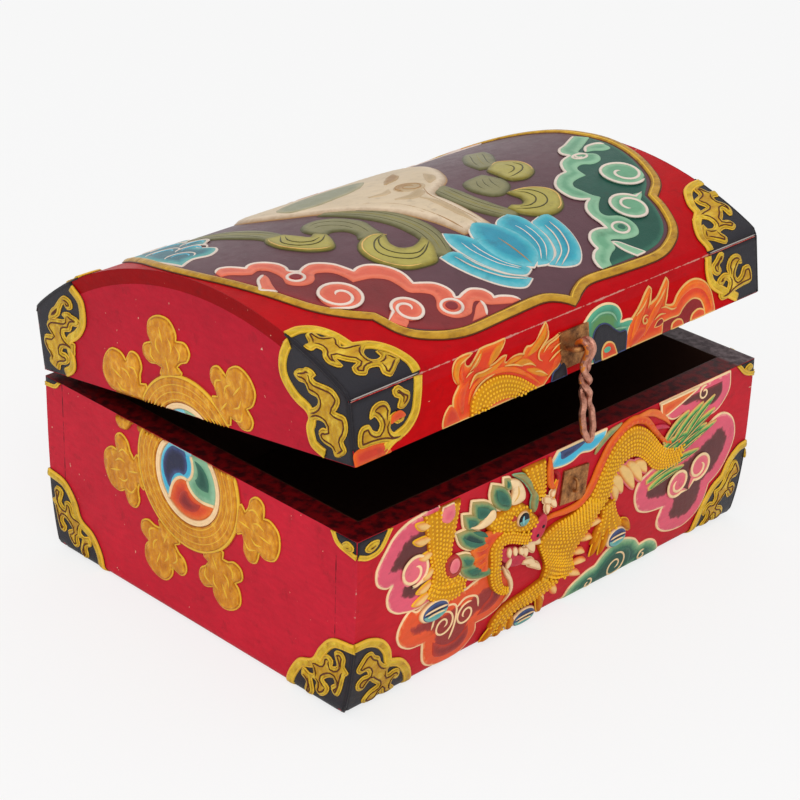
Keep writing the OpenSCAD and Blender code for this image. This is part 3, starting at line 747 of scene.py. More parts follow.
def end(base_place, lid_place, tag):
    """The wheel, the corner panels and the black arrises of one end."""
    wheel(Art(f"base_{tag}_relief", base_place), True)
    wheel(Art(f"lid_{tag}_relief", lid_place), False)
    art = Art(f"base_{tag}_corners", base_place)
    for side in (-1, 1):
        heights = np.linspace(0.6, 36, 24)
        reach = [side * (HALF_DEPTH - foot_at(v) - 0.2) for v in heights]
        bead(art, np.stack([reach, heights], 1), 0.6, "black", -0.15, sides=6)
    corner(art, END_LOW_FRONT, LOW_GILT, closing=[(END_U, FOOT_V)])
    corner(art, END_LOW_BACK, LOW_GILT, (-1, -0.6, 1, 0.6), closing=[(-END_U, FOOT_V)])
    corner(art, END_TOP_FRONT, END_TOP_GILT, closing=[(END_U, END_V)], band=1.2)
    corner(art, END_TOP_BACK, closing=[(-END_U, END_V)], band=1.0)
    art = Art(f"lid_{tag}_corners", lid_place)
    for side, line, gilt, fit in (
        (1, LID_END_FRONT, LID_END_GILT, (1, 0, 1, 0)),
        (-1, LID_END_BACK, (*LID_END_GILT, LID_END_HOOK), (-0.98, 0.6, 0.83, 0.5)),
    ):
        edge = curve(line, closed=False, step=1.2)
        edge[:, 1] = np.minimum(edge[:, 1], under_dome(edge[:, 0], 0.4))
        last = edge[-1][0]
        along = np.linspace(last + side * 1.5, side * 97.4, 20)
        top = np.stack([along, under_dome(along) - 0.25], 1)
        bead(art, top, 0.75, "black", -0.1, sides=6)
        rise = [(u, under_dome(u)) for u in np.linspace(last + side, side * 96.0, 6)]
        closing = rise + [(side * END_U, 28), (side * END_U, 0.3)]
        border = np.concatenate([edge[::3], edge[-1:]])
        corner(art, border, gilt, fit, closing, limit=lambda u: under_dome(u, 1.6))


end(on_base_left, on_lid_left, "left")
end(on_base_right, on_lid_right, "right")


# ---------------------------------------------------------------- the base's front

# corner panels
FRONT_LOW_LEFT = [
    (-124.8, 37), (-117, 36.5), (-109.5, 33), (-104.5, 27), (-102.5, 20.5, 1), (-96, 17.5), (-90.5, 11),
    (-88, 5), (-87, 0.2),
]
FRONT_LOW_RIGHT = [
    (124.8, 42), (119, 41), (112.5, 36), (109, 29, 1), (103, 25), (98.5, 18), (96, 10), (94.5, 0.2),
]
FRONT_GILT = (
    [(-122.6, 23.4), (-120.8, 26.4), (-118, 29.2), (-115, 29.2), (-113, 26.6), (-110.4, 24.8), (-109.2, 22),
     (-106.6, 19.2), (-102.4, 18.4), (-104, 15.4), (-103.4, 12.6), (-100.4, 13.4), (-97.4, 12.6), (-96, 10),
     (-97.2, 7.6), (-99.4, 8.8), (-100, 5.6), (-97.4, 2.6), (-101.4, 1), (-105, 2.6), (-106, 5.8),
     (-109, 1.4), (-113.6, 1.6), (-116, 4.6), (-113, 8), (-108.6, 9.4), (-111.6, 12.4), (-114.4, 14.6),
     (-117.6, 11.4), (-120.8, 12.6), (-121.6, 16), (-118.8, 18.2), (-115.4, 18), (-117, 21), (-120.6, 21)],
)
art = Art("base_front_corners", on_base_front)
corner(art, FRONT_LOW_LEFT, FRONT_GILT, closing=[(-FACE_U, FOOT_V)])
corner(art, FRONT_LOW_RIGHT, FRONT_GILT, (-0.82, 22.4, 1.14, 0), closing=[(FACE_U, FOOT_V)])
figure = ([(-121, 79), (-118, 81), (-113.6, 80.4), (-115, 78), (-118.6, 77)],)
border = [(-124.8, 75.5), (-119, 73.5), (-112, 75), (-106, 83.2)]
corner(art, border, figure, closing=[(-FACE_U, FACE_V)], band=1.2)
figure = ([(118, 80.6), (121, 82), (123.4, 80), (121, 78.6)],)
border = [(112, 83.2), (118, 77.5), (124.8, 75)]
corner(art, border, figure, closing=[(FACE_U, FACE_V)], band=1.1)

# the pink cloud at the left
art = Art("base_front_cloud_left", on_base_front)
cloud(art, [
    (-90, 82.6), (-98, 81.5), (-105, 78), (-111, 71, 1), (-114, 66), (-113.5, 60), (-109, 56.5),
    (-105, 56.5, 1), (-107.5, 52), (-107, 47), (-104, 43.5), (-99, 41), (-88, 39.5), (-80, 44),
    (-80, 82.6),
], "pink", 0.9)
snail(art, -93.5, 58.5, 7.2, -100, 1.5, "pink_light", (-86, 52))

# the orange cloud under the head
art = Art("base_front_cloud_middle", on_base_front)
cloud(art, [
    (-90, 37.5), (-94, 39.5), (-98.5, 35.5), (-100.3, 30), (-98, 24.5), (-92, 20.5), (-84.5, 19.5, 1),
    (-82.5, 10), (-78, 5), (-70, 2.5), (-62, 2.6), (-56, 5.5), (-52, 11), (-52.5, 16, 1), (-45, 16.2),
    (-38, 19), (-34, 25), (-34, 32), (-38, 37), (-46, 39), (-54, 38.5), (-62, 36.5), (-66, 38.5),
    (-74, 36), (-83, 39),
], "blaze", 1.0)
cloud(art, [
    (-79, 18, 1), (-77, 10), (-70, 6.5), (-61, 7), (-57, 12), (-58, 18, 1), (-64, 13), (-71, 13),
], "ember", 0.25, 0, 0.8, 0.95)
cloud(art, [
    (-53, 20, 1), (-45, 20.5), (-39, 25), (-39, 31), (-45, 33, 1), (-46, 27), (-50, 24),
], "ember", 0.25, 0, 0.8, 0.95)
curl(art, -74, 24.5, 6.8, 120, -1.5)
curl(art, -60.5, 24.5, 6.0, 60, 1.5)
stroke(art, [
    (-81, 25), (-79, 31), (-72, 33.5), (-67, 31), (-67, 22), (-69, 15),
], 0.55, "cream", 0.95, taper=2)
stroke(art, [(-67, 30), (-62, 33), (-55, 31), (-53, 25)], 0.55, "cream", 0.95, taper=2)

# the green cloud under the body
art = Art("base_front_cloud_green", on_base_front)
cloud(art, [
    (7, 0.3, 1), (10, 7), (19, 11.5), (25, 12.5, 1), (31, 18), (40, 20.5), (50, 17), (55.5, 11.5, 1),
    (62, 11.5), (68, 8), (73, 0.3, 1),
], "green", 0.9)
cloud(art, [
    (16, 3, 1), (20, 7.5), (26, 7.5, 1), (32, 14), (40, 16), (47.5, 13), (50, 7), (47, 2), (30, 2),
], "green_dark", 0.25, 0, 0.9, 0.85)
cloud(art, [(54, 2, 1), (56, 7), (62, 7), (66, 3, 1), (60, 1.5)], "green_dark", 0.25, 0, 0.8, 0.85)
curl(art, 39, 7.2, 7.2, 100, -1.5)
curl(art, 22, 4.2, 3.0, 120, -1.2)
curl(art, 58.5, 4.8, 3.0, 60, 1.2)

# the pink clouds at the right
art = Art("base_front_cloud_right", on_base_front)
cloud(art, [
    (53, 49.5), (47.5, 46.5), (46, 40), (49, 33), (55, 29.5), (62, 28), (67.5, 27.5, 1), (65.5, 22),
    (66.5, 17), (72, 12.5), (80, 10), (88, 10), (95, 14), (98.5, 20), (100, 27.5, 1), (107, 32),
    (112.5, 40), (115, 48), (113, 56), (108, 61), (101, 62.5), (90, 58), (76, 53), (62, 52),
], "pink", 0.9)
snail(art, 75, 37, 6.6, -60, -1.5, "pink_light", (83, 31))
snail(art, 90, 40.5, 6.6, -120, 1.5, "pink_light", (84, 31))

# the cloud at the top right
art = Art("base_front_cloud_top", on_base_front)
cloud(art, [
    (58, 82.6, 1), (62, 76), (68, 72), (76, 72), (84, 68), (92, 65.5), (99, 66), (104.5, 70), (107.5, 75),
    (107, 82.6, 1),
], "pink", 0.9)
cloud(art, [
    (70, 80, 1), (75, 76.5), (84, 76), (94, 70.5), (101, 74), (101, 80, 1),
], "maroon", 0.25, 0, 0.8, 0.85)
cloud(art, [(58, 82.4, 1), (60, 76), (70, 78), (80, 81), (84, 82.4, 1)], "orange", 0.4, 0.6, 0.9, 0.8)
curl(art, 88, 78.5, 3.6, 60, 1.3)

# tail fins
art = Art("base_front_fins", on_base_front)
for base, tip, width, bend in (
    ((58, 58), (80, 62), 3.6, 0.8), ((62, 54), (92, 62), 3.8, 1.0), ((52, 46), (88, 50.5), 3.6, 1.2),
    ((60, 50), (99, 61), 3.4, 0.8), ((62, 62), (78, 73), 3.6, 0.6), ((68, 60), (88, 74), 3.6, 0.8),
    ((76, 60), (96, 75), 3.4, 0.8), ((70, 56), (97, 68), 3.4, 0.8), ((54, 42), (78, 45.5), 3.2, 1.0),
):
    leaf(art, base, tip, width + 0.4, bend, "fin", 0.9, 1.1)

# the dragon: neck coil at the left, body to the right
art = Art("base_front_dragon_coil", on_base_front)
scaled_body(art, [
    (-90, 82.4), (-88, 72), (-86, 62), (-83.5, 52), (-88, 43),
], [(-68, 82.4), (-70.5, 70), (-72.5, 60), (-71, 50), (-63, 43.5)], 8, height=2.1, gap=2.0)
scaled_body(art, [
    (-88, 44), (-81, 38.5), (-73, 35.6), (-65, 36.2),
], [(-82, 51), (-75, 47), (-68, 45.5), (-62.6, 43)], 5, height=2.0, gap=2.0)
for base, tip in (((-85, 77), (-94, 80)), ((-85, 71), (-95, 72.5)), ((-84, 64), (-92, 63.5)),
                  ((-83, 56), (-90, 53)), ((-84, 50), (-92, 47.5)), ((-85, 45), (-94, 42.5))):
    leaf(art, base, tip, 3.8, 0.8, "claw", 0.9, 1.2, "gold_bright", 0.5)
cloud(art, [
    (-76, 57), (-71, 57.5), (-67.5, 53), (-68.5, 48.5), (-73, 48), (-76, 52),
], "ember", 0.8, 0.6, 1.2, 1.8, "red_line")
cloud(art, ring(-71.5, 53, 2.9, 3.4), "pink_light", 0.8, 0, 1.4, 2.4)
cloud(art, [
    (-79, 82.4, 1), (-80, 77), (-76, 74.5), (-72.5, 77), (-73, 82.4, 1),
], "pink_light", 1.2, 0.5, 1.2, 1.6)
pearl(art, -81, 35, 8.6, ("cream", "teal", "navy"), 1.0, 0.6)

art = Art("base_front_dragon_body", on_base_front)
scaled_body(art, [
    (77, 57.5), (68, 58), (60, 62), (53, 70), (46, 76), (38, 78.8), (30, 76.5), (22.5, 69), (16.5, 59),
    (11, 51),
], [
    (74, 48), (63, 49), (55, 52), (49, 58), (43, 62.5), (37, 63.5), (31.5, 61), (28, 55), (27, 50),
    (24, 46),
], 8, height=2.3, gap=2.0, radius=0.85)
scaled_body(art, [
    (13, 53), (2, 49), (-9, 48), (-18.5, 43.5), (-15.5, 35), (-12.5, 28), (-14, 21.5),
], [
    (25, 48), (18.5, 41.5), (12.5, 35), (7, 30), (5.5, 25), (8, 19.5), (3, 16),
], 13, height=2.3, gap=2.0, radius=0.85)
ribbon(art, [
    (-21, 50), (-13, 52.8), (-2, 51.8), (7, 52.4), (14, 58), (19.5, 67), (27, 76), (38, 80.8), (48, 78),
    (56, 69.5), (64, 62.5), (77, 59.5),
], 4.2, "flame", 0.4, 1.5)
pips(art, curve([
    (16, 61), (21, 69.5), (28, 76.6), (38, 80.6), (48, 77.6), (56, 69), (64, 62.2), (75, 59.4),
], closed=False), 3.2, 0.9, "orange", 1.5)
for base, tip, width in (((26, 59), (35, 47), 6), ((31, 62), (43, 46), 6), ((37, 61.5), (48, 48), 5.6),
                         ((42, 60), (51, 51.5), 5), ((27, 54), (31, 44), 4.6)):
    leaf(art, base, tip, width, 1.2, "claw", 0.7, 1.5, "pink_light", 0.6)
for base, tip in (((14, 42), (22, 45)), ((15, 38), (23, 38)), ((10, 33), (18, 31)), ((6, 28), (14, 25)),
                  ((6, 22), (16, 20)), ((4, 18), (14, 13)), ((-6, 15), (-1, 9)), ((-14, 14), (-9, 8))):
    leaf(art, base, tip, 3.4, 0.6, "claw", 0.6, 1.4, "orange", 0.5)

art = Art("base_front_dragon_legs", on_base_front)
scaled_body(art, [(22, 45), (22, 39), (19, 33), (17.5, 27)], [(30, 47), (32, 41), (35, 36), (41, 30)], 5,
            height=2.1, gap=2.0)
scaled_body(art, [
    (-11, 23), (-24, 20), (-34, 18.5), (-40, 15), (-43.5, 9.5), (-41, 5),
], [(0, 16), (-9, 13), (-18, 11.5), (-26, 11.5), (-31, 8.5), (-33, 3.5)], 6, height=2.1, gap=2.0)
for base, tip in (((22, 33), (18, 21)), ((27, 33), (24, 19.5)), ((36, 33), (43.5, 25)),
                  ((-14, 14), (-10.5, 3)), ((-31, 10), (-29, 1)), ((-37, 9), (-37.5, 1)),
                  ((-41, 9), (-47, 3))):
    leaf(art, base, tip, 4.0, 0.8, "dragon", 0.9, 1.7, "gold_bright", 0.5)
pearl(art, 34.5, 24.8, 6.6, ("cream", "teal", "navy"), 0.9, 0.8)
pearl(art, -21.3, 5.6, 7.6, ("cream", "teal", "navy"), 0.9, 0.66)

art = Art("base_front_dragon_mane", on_base_front)
for leaf_line, core in (
    ([(-61.5, 78.5, 1), (-53, 75.5), (-47, 70), (-50, 66.5), (-58, 68), (-61.5, 73)],
     [(-59.3, 75.5, 1), (-53, 72.5), (-52, 69), (-58.5, 70)]),
    ([(-50, 82.3, 1), (-42, 78), (-37.5, 70), (-41, 66.5), (-48, 71), (-50.8, 77)],
     [(-48.5, 79.5, 1), (-42, 75), (-40, 69.5), (-46.5, 73)]),
    ([(-43, 82.6, 1), (-39, 81), (-38.5, 76), (-42, 77)], [(-42, 81.5, 1), (-40, 79), (-41.5, 78)]),
    ([(-67, 74.5, 1), (-60, 72), (-56.5, 68), (-61, 65), (-65.5, 68)],
     [(-64.5, 71.5, 1), (-59.5, 68.8), (-63.5, 67.5)]),
    ([(-70.5, 67, 1), (-62, 66), (-54, 60.5), (-51.5, 55.5), (-60, 55.5), (-67, 60)],
     [(-67.5, 64.5, 1), (-61, 60), (-54, 56.4), (-60, 57), (-65, 60.5)]),
    ([(-69.5, 56.5, 1), (-63, 55), (-58.5, 51), (-61.5, 47.5), (-66.5, 50)],
     [(-66.5, 54, 1), (-60.5, 51), (-63.5, 50)]),
    ([(-68, 50, 1), (-60, 49), (-54, 44.5), (-47, 42.5), (-48, 39.2), (-58, 40.5), (-65, 45)],
     [(-63, 47, 1), (-57, 46.5), (-55, 43.8), (-60, 44)]),
):
    cloud(art, leaf_line, "leaf", 1.9, 0.75, 1.6, 0.5, "cream")
    cloud(art, core, "green_dark", 0.35, 0, 0.6, 2.3)
cloud(art, [
    (-66, 68.5, 1), (-58, 67.5), (-52, 71), (-48.5, 70.5), (-48, 66.5), (-52, 64.5), (-58, 64.5),
], "cream", 1.4, 0, 1.6, 1.6)
cloud(art, [(-62, 65, 1), (-55, 62.5), (-52, 59), (-57, 61)], "green_dark", 0.6, 0, 0.6, 2.0)

art = Art("base_front_dragon_head", on_base_front)
HEAD = [
    (-53, 65.5), (-47, 67.5), (-40, 68.2), (-33, 68), (-27.5, 64), (-22.5, 58.5), (-20, 55), (-25, 51),
    (-33, 52.5), (-42, 56), (-50, 60),
]
cloud(art, HEAD, "dragon", 2.6, 0.0, 2.6)
cloud(art, [
    (-60.5, 55.5), (-53, 60.5), (-45, 60), (-41, 56.5), (-49.5, 52), (-50, 42), (-54, 41.5), (-58.5, 45),
    (-59, 50),
], "orange", 1.6, 0.0, 2.0, 0.8)
for base, tip in (((-52, 51), (-60, 50)), ((-52, 47), (-59, 45.5)), ((-51, 55), (-60, 55.5))):
    leaf(art, base, tip, 3.6, 0.4, "flame", 1.6, 1.0, "flame", 0.4)
scaled_body(art, [
    (-49.5, 40), (-50.2, 47), (-50.6, 53), (-45, 57.5), (-37, 56), (-30, 52.5), (-24.5, 51),
], [
    (-43, 42), (-42.6, 46), (-42.8, 49.5), (-40.5, 51.2), (-36, 49.6), (-31, 47.2), (-26.6, 45.6),
], 4, height=2.9, level=0.4, gap=1.9, radius=0.75)
scaled_body(art, [
    (-49.8, 44), (-49, 37), (-46.5, 31), (-41.5, 26.5), (-37, 25),
], [
    (-43, 44), (-42.3, 38), (-41, 33), (-39.5, 30), (-35.6, 28),
], 4, height=2.5, level=0.4, gap=1.9, radius=0.75)
# beads in rings round the eye, in a bright paint that is partly a painted highlight
EYE = (-31.6, 60.0)
head_line = curve(HEAD)
for r in (5.2, 7.2, 9.2, 11.2, 13.2, 15.2, 17.2, 19.4):
    spots = ring(*EYE, r, count=max(8, int(2 * math.pi * r / 1.9)))
    spots = spots[inside(spots, head_line)]
    if len(spots):
        spots = spots[edge_distance(spots, head_line) > 0.7]
        dots(art, spots, 0.78, "gold_bright", 2.45)
pearl(art, *EYE, 3.7, ("cream", "teal", "black"), 2.1)
ribbon(art, [(-32.6, 62.2), (-33.0, 60), (-32.4, 58)], 1.1, "cyan", 4.3, 0.3)
cloud(art, ring(-36.8, 62, 1.6, 1.3), "ember", 0.5, 0, 0.8, 2.6)
cloud(art, [
    (-26, 46.5, 1), (-24.5, 51.5), (-20, 56), (-16.6, 56.5), (-16, 52), (-18, 47.5), (-22, 45.5),
], "mouth", 1.7, 0.0, 1.6, 1.8)
dots(art, [(-22.0, 48.6), (-18.8, 51.8)], 1.05, "black", 3.4, 0.45)
cloud(art, [
    (-42.4, 48.8, 1), (-36, 47.6), (-31, 45), (-33, 41), (-37.5, 40), (-41.5, 43.5),
], "mouth", 0.9, 0.0, 1.2, 0.7)
cloud(art, [(-37, 41.5, 1), (-29, 41), (-23, 35.5, 1), (-31, 36), (-36, 38)], "mouth", 0.7, 0.0, 1.2, 0.6)
for base, tip in (((-38, 48), (-37, 42.5)), ((-34.6, 47), (-33, 42)), ((-31.2, 45.5), (-28.6, 41)),
                  ((-38.5, 38), (-36, 42.5))):
    leaf(art, base, tip, 3.0, 0, "cream", 1.4, 1.0, "cream", 0)
ribbon(art, [(-40.5, 40), (-38.5, 36), (-35, 31), (-34, 25), (-38, 20)], 2.4, "cream", 0.9, 1.3)
for base, tip, width in (((-27, 46), (-21, 39), 4.4), ((-25, 46), (-17, 42), 4.0),
                         ((-29, 44), (-26, 38.5), 3.6), ((-28, 37), (-19, 32), 3.4),
                         ((-24, 34), (-15, 28), 3.0)):
    leaf(art, base, tip, width, 1.0, "cream", 0.8, 1.3, "cream", 0.4)
cloud(art, [
    (-41, 81), (-35, 79.5), (-30.5, 74), (-30, 68.5), (-36, 67.5), (-39.5, 70), (-38, 75),
], "cream", 1.7, 0.0, 2.2, 1.0)
stroke(art, [(-37.5, 70), (-35, 73), (-35.5, 77)], 0.5, "gold_pale", 2.6, taper=2)
cloud(art, [
    (-37.5, 82.2, 1), (-30.5, 80), (-26, 74.5), (-24.6, 68, 1), (-27.6, 73), (-31.5, 77.5),
], "leaf", 1.9, 0.5, 0.9, 0.8, "green")
cloud(art, [
    (-24.2, 71, 1), (-21.8, 67), (-22.2, 62), (-24.2, 59.5, 1), (-25.4, 64),
], "leaf", 2.1, 0.5, 0.9, 0.8, "green")
for base, tip in (((-16, 61), (-15, 55.5)), ((-14, 62), (-9.5, 57)), ((-13, 63), (-11, 66.5)),
                  ((-14.5, 61.5), (-18, 65)), ((-13.5, 60.5), (-16, 64.5))):
    leaf(art, base, tip, 3.2, 0.4, "cream", 1.2, 1.4, "cream", 0.4)

# the dragon's far coil, flames and a bit of cloud above the head
art = Art("base_front_dragon_back", on_base_front)
scaled_body(art, [
    (-31.5, 82.4), (-28, 76), (-24, 70.5), (-21.5, 64),
], [(-17, 82.4), (-16.6, 76), (-16.4, 70), (-16.6, 65)], 5, height=1.9, gap=2.0)
ribbon(art, [(-14.5, 82.2), (-14, 75), (-13, 69), (-9.6, 64)], 3.6, "flame", 0.6, 1.3)
ribbon(art, [(-12, 74.5), (-8.6, 72), (-8.2, 66), (-9, 58)], 2.4, "red_line", 0.4, 0.9)
leaf(art, (-12, 56), (-8, 71), 3.0, 0.8, "flame", 0.5, 1.0, "gold_bright", 0.4)
cloud(art, [
    (-13, 77), (-7, 75), (0, 75), (6, 77), (13, 76), (20, 79), (22, 82.6, 1), (-9, 82.6, 1),
], "cyan", 1.0, 0.8, 1.4, 0, "cream")
cloud(art, [(-8, 82.4, 1), (-7, 78.6), (-1, 79), (5, 80.5), (9, 82.4, 1)], "navy", 0.3, 0, 0.8, 0.95)
ribbon(art, [(15, 73), (18, 76.5), (24, 80), (32, 82.3)], 3.0, "leaf", 0.4, 1.0)
ribbon(art, [(42, 81.8), (52, 80.5), (60, 76), (66, 70)], 3.4, "orange", 0.4, 1.0)
ribbon(art, [(52, 72.5), (60, 71), (66, 68.5)], 2.2, "mouth", 0.4, 0.9)


# ---------------------------------------------------------------- the lid's front
LID_FRONT_LEFT = [(-86.5, 26), (-87.5, 19), (-90, 11), (-96, 5.5), (-104, 3), (-109, 0.3)]
LID_FRONT_GILT = (
    [(-115.6, 17), (-114.2, 20.8), (-110.4, 22.2), (-106.6, 21), (-104.8, 17.4), (-105.8, 14.8),
     (-102, 15.4), (-98, 13.6), (-98, 11.4), (-101.4, 10.8), (-103.6, 12.4), (-105.8, 10.6), (-104, 7.4),
     (-98.6, 7), (-100, 4), (-104.6, 3.8), (-110, 5.6), (-116, 6.4), (-122, 7), (-122.4, 11.4),
     (-120.6, 14.6), (-116.6, 14.6), (-115.2, 12), (-112.2, 10.4), (-110.4, 12.8), (-111.4, 15.4),
     (-113.4, 17.6)],
    [(-102.6, 24.6), (-99.8, 25.6), (-96.6, 23), (-94, 21), (-94.8, 17.8), (-97.9, 15.9), (-100.6, 17),
     (-99.2, 20.2), (-101.8, 22)],
)
art = Art("lid_front_corners", on_lid_front)
corner(art, LID_FRONT_LEFT, LID_FRONT_GILT, closing=[(-FACE_U, 0.3), (-FACE_U, 26)])
cloud(art, [
    (-124.6, 0.4, 1), (-124.6, 5.5), (-118, 6.5), (-111, 5.5), (-107, 2), (-106, 0.4, 1),
], "fire", 0.9, 0.5, 1.2, 0.3, "flame")
cloud(art, [
    (-105.4, 12), (-104, 15), (-100, 15.4), (-97.6, 13), (-100.4, 12.6), (-103, 12.4),
], "fire", 0.4, 0.3, 0.9, 1.2, "flame")
corner(art, [
    (88.5, 26), (88.5, 19), (91, 12), (98, 6.5), (104, 3), (108.5, 0.3),
], LID_FRONT_GILT, (-0.97, 1.5, 1, 0), closing=[(FACE_U, 0.3), (FACE_U, 26)])

art = Art("lid_front_flames", on_lid_front)
cloud(art, [
    (-77, 0.4, 1), (-76.6, 3), (-75, 6), (-72, 8.2), (-69.6, 6.6), (-68.4, 4.4), (-67, 0.4, 1),
], "fire", 0.8, 0.45, 1.2, 0, "gold_pale")
LICKS = [
    (-70.5, 0.4, 1), (-70.5, 7), (-69.8, 11), (-67, 14.4), (-66.6, 15.4, 1), (-68.6, 18), (-69.2, 22),
    (-68, 25), (-65, 26.4), (-61, 26.6), (-57.8, 26.2, 1), (-60.4, 25.2), (-62.4, 23.8), (-61.8, 21.8),
    (-59.6, 21.2), (-56.4, 23.6), (-53.6, 26.4, 1), (-50, 26.6), (-45, 26.4), (-39, 26.6, 1),
    (-39.6, 24.6), (-43, 22.2), (-46, 20.2), (-48.6, 17.6, 1), (-45, 18.2), (-41.4, 19.4),
    (-38.6, 19.4, 1), (-40, 17), (-38.4, 16.2), (-35, 17.4), (-31, 17.5), (-28.6, 16.8, 1), (-28, 18),
    (-26.4, 19.3), (-24, 19), (-20.6, 20), (-17.6, 23.4), (-14.6, 26.4, 1), (-13.6, 23.8), (-14.2, 20.6),
    (-16.4, 18.2), (-18.4, 15.8, 1), (-14.6, 17.4), (-10, 18.2), (-6.5, 19.3, 1), (-6.5, 13), (-6.5, 8, 1),
    (-9, 5.6), (-12, 4.4), (-15, 2.6), (-18, 0.4, 1),
]
cloud(art, LICKS, "lick", 0.7, 0.5, 1.4, 0, "gold_pale")
scaled_body(art, [
    (-62.4, 0.4), (-61.8, 6), (-59, 10.4), (-53, 12.8), (-46, 13.2), (-39, 11.6), (-32, 8.2), (-26.5, 4.2),
    (-22, 0.5),
], [
    (-52, 0.4), (-50, 1.4), (-47.6, 1.8), (-45, 1.9), (-42.6, 1.9), (-40.4, 1.7), (-38.4, 1.4), (-37, 0.9),
    (-36, 0.4),
], 6, height=1.9, gap=1.8, radius=0.72)
for line, width, material in (
    ([(-67, 15.6), (-68, 20.5), (-66, 24.4), (-60, 25.6)], 3.4, "amber"),
    ([(-64.4, 15.8), (-65.4, 20), (-63.4, 23)], 1.6, "fire"),
    ([(-49.6, 18.6), (-45.6, 22), (-39.8, 26)], 4.2, "amber"),
    ([(-59.6, 19.6), (-56, 22), (-52.6, 25.8)], 2.4, "amber"),
    ([(-66, 3), (-66.4, 8), (-64.6, 12.6), (-60.6, 16)], 3.6, "fire"),
    ([(-61, 13.6), (-57, 16), (-51, 15.6), (-45, 17), (-39.6, 19)], 2.4, "amber"),
    ([(-40, 15.6), (-35, 16.4), (-29.2, 16.6)], 2.2, "amber"),
    ([(-62.4, 6), (-60.4, 11), (-54, 14.4), (-46, 14.8), (-37, 13), (-29.6, 9), (-23, 4), (-19.6, 0.8)],
     2.4, "lick"),
    ([(-36, 14.4), (-29, 13.8), (-22.4, 10.4)], 3.0, "amber"),
    ([(-28, 10.2), (-22, 7.4), (-15.4, 3.4)], 3.0, "amber"),
    ([(-27, 15.6), (-20.6, 18.6), (-16.6, 22), (-14.8, 25.8)], 3.4, "amber"),
    ([(-12, 7), (-9, 8.4), (-7, 10.4)], 3.4, "fire"),
    ([(-15, 14.6), (-11, 15.8), (-7.2, 16.2)], 2.2, "fire"),
):
    ribbon(art, line, width, material, 0.55, 0.6, (0.3, 0.15))
for line in (
    [(-13.9, 23), (-14.6, 20), (-17.6, 17.8), (-20.4, 15.2), (-20.6, 12.6), (-18.6, 11)],
    [(-17.6, 14.4), (-14.6, 16.8), (-10.6, 17.8), (-7, 19)],
    [(-13, 13), (-9.6, 14.8), (-7, 15.4)], [(-14.6, 9.6), (-10.4, 11.6), (-7, 12.6)],
    [(-66.6, 23.6), (-63.4, 24.8), (-59.6, 25.8)], [(-60.6, 19.4), (-57.4, 21.4), (-54, 24.8)],
    [(-63, 17.4), (-61, 18.6), (-58.6, 19)], [(-61.6, 12.4), (-58, 16.8), (-53, 17), (-48, 17.4)],
    [(-60, 8.6), (-56.6, 11.8), (-52, 13.6), (-46.6, 14.2)],
    [(-41, 15.6), (-35.6, 14.6), (-30.4, 12.4)], [(-31, 12.8), (-26, 12.2), (-22.6, 10)],
    [(-24, 8), (-20, 7), (-16, 4.2)], [(-44, 22), (-41.6, 23.6), (-40, 25.6)],
):
    stroke(art, line, 0.42, "gold_pale", 1.0, taper=3, sides=5)
cloud(art, [
    (-13.5, 0.4, 1), (-12, 3.8), (-9, 5), (-6.4, 6.8), (-4.6, 5), (-4, 0.4, 1),
], "black", 0.9, 0.4, 1.2, 0.5, "navy")

# the flames and the arch of cloud on the right
patch(art, curve([
    (51, 0.4, 1), (54, 5), (59, 6), (66, 6), (72, 8), (78, 10.4), (84, 9), (87.4, 4), (87.6, 0.4, 1),
]), "crimson", 0.25, 0.4, 0.1)
TONGUES = [
    (32.6, 0.4, 1), (34, 4), (35.6, 8), (37, 11), (39.6, 13), (42.4, 15), (45.4, 18), (48, 21.2),
    (50.4, 23.4, 1), (51.8, 22), (51.5, 19), (50.8, 15.4, 1), (53, 16), (56, 17.4), (59, 20.8),
    (62, 24.2, 1), (63.2, 22), (62.5, 18), (61.5, 14.6), (60.6, 12.6), (64, 11.2), (66.6, 11.4),
    (69, 14.4), (73, 17), (78, 18.4), (83, 17.8), (88, 15), (91.6, 10.4), (93.4, 4), (94, 0.4, 1),
    (87.2, 0.4, 1), (86.6, 4), (84.4, 8), (80, 10), (76, 9.5), (72, 7.4), (69.6, 5.4), (64, 5.6),
    (58.6, 5.4, 1), (57.6, 0.4, 1),
]
cloud(art, TONGUES, "lick", 0.8, 0.6, 1.4, 0, "gold_pale")
for line, width, material in (
    ([(37, 3), (41, 9), (46, 16), (50.6, 22.4)], 3.6, "lick"),
    ([(45, 3), (51.6, 10), (58, 16.4), (62.2, 23)], 3.6, "lick"),
    ([(36, 1), (41, 4.4), (48, 5.6)], 5.0, "fire"),
    ([(66, 9), (70, 13), (75, 15.6), (81, 15.8), (87, 13), (90.6, 7), (91.6, 1)], 3.0, "lick"),
):
    ribbon(art, line, width, material, 0.6, 0.6, (0.3, 0.15))
for line in (
    [(40.6, 13.2), (45, 15.8), (48.6, 19.4)], [(53, 13.6), (57, 16.6), (60.6, 20.4)],
    [(59.6, 12), (61, 16), (61.8, 20)], [(48.6, 14.4), (50, 17.6), (50.4, 20.6)],
    [(57, 12), (60, 11.8), (64, 9.6), (67.4, 9.4)], [(52.4, 8), (56, 9.4), (60, 8.8)],
):
    stroke(art, line, 0.42, "gold_pale", 1.05, taper=3, sides=5)
curl(art, 46.6, 9.6, 2.3, 40, 1.2, "gold_pale", 0.42, 1.0)
cloud(art, [
    (52.4, 4.6, 1), (54.6, 6.8), (57.6, 7.2), (58.4, 5.4), (55.6, 4.4),
], "crimson", 0.3, 0.3, 0.6, 0.7, "gold_pale")
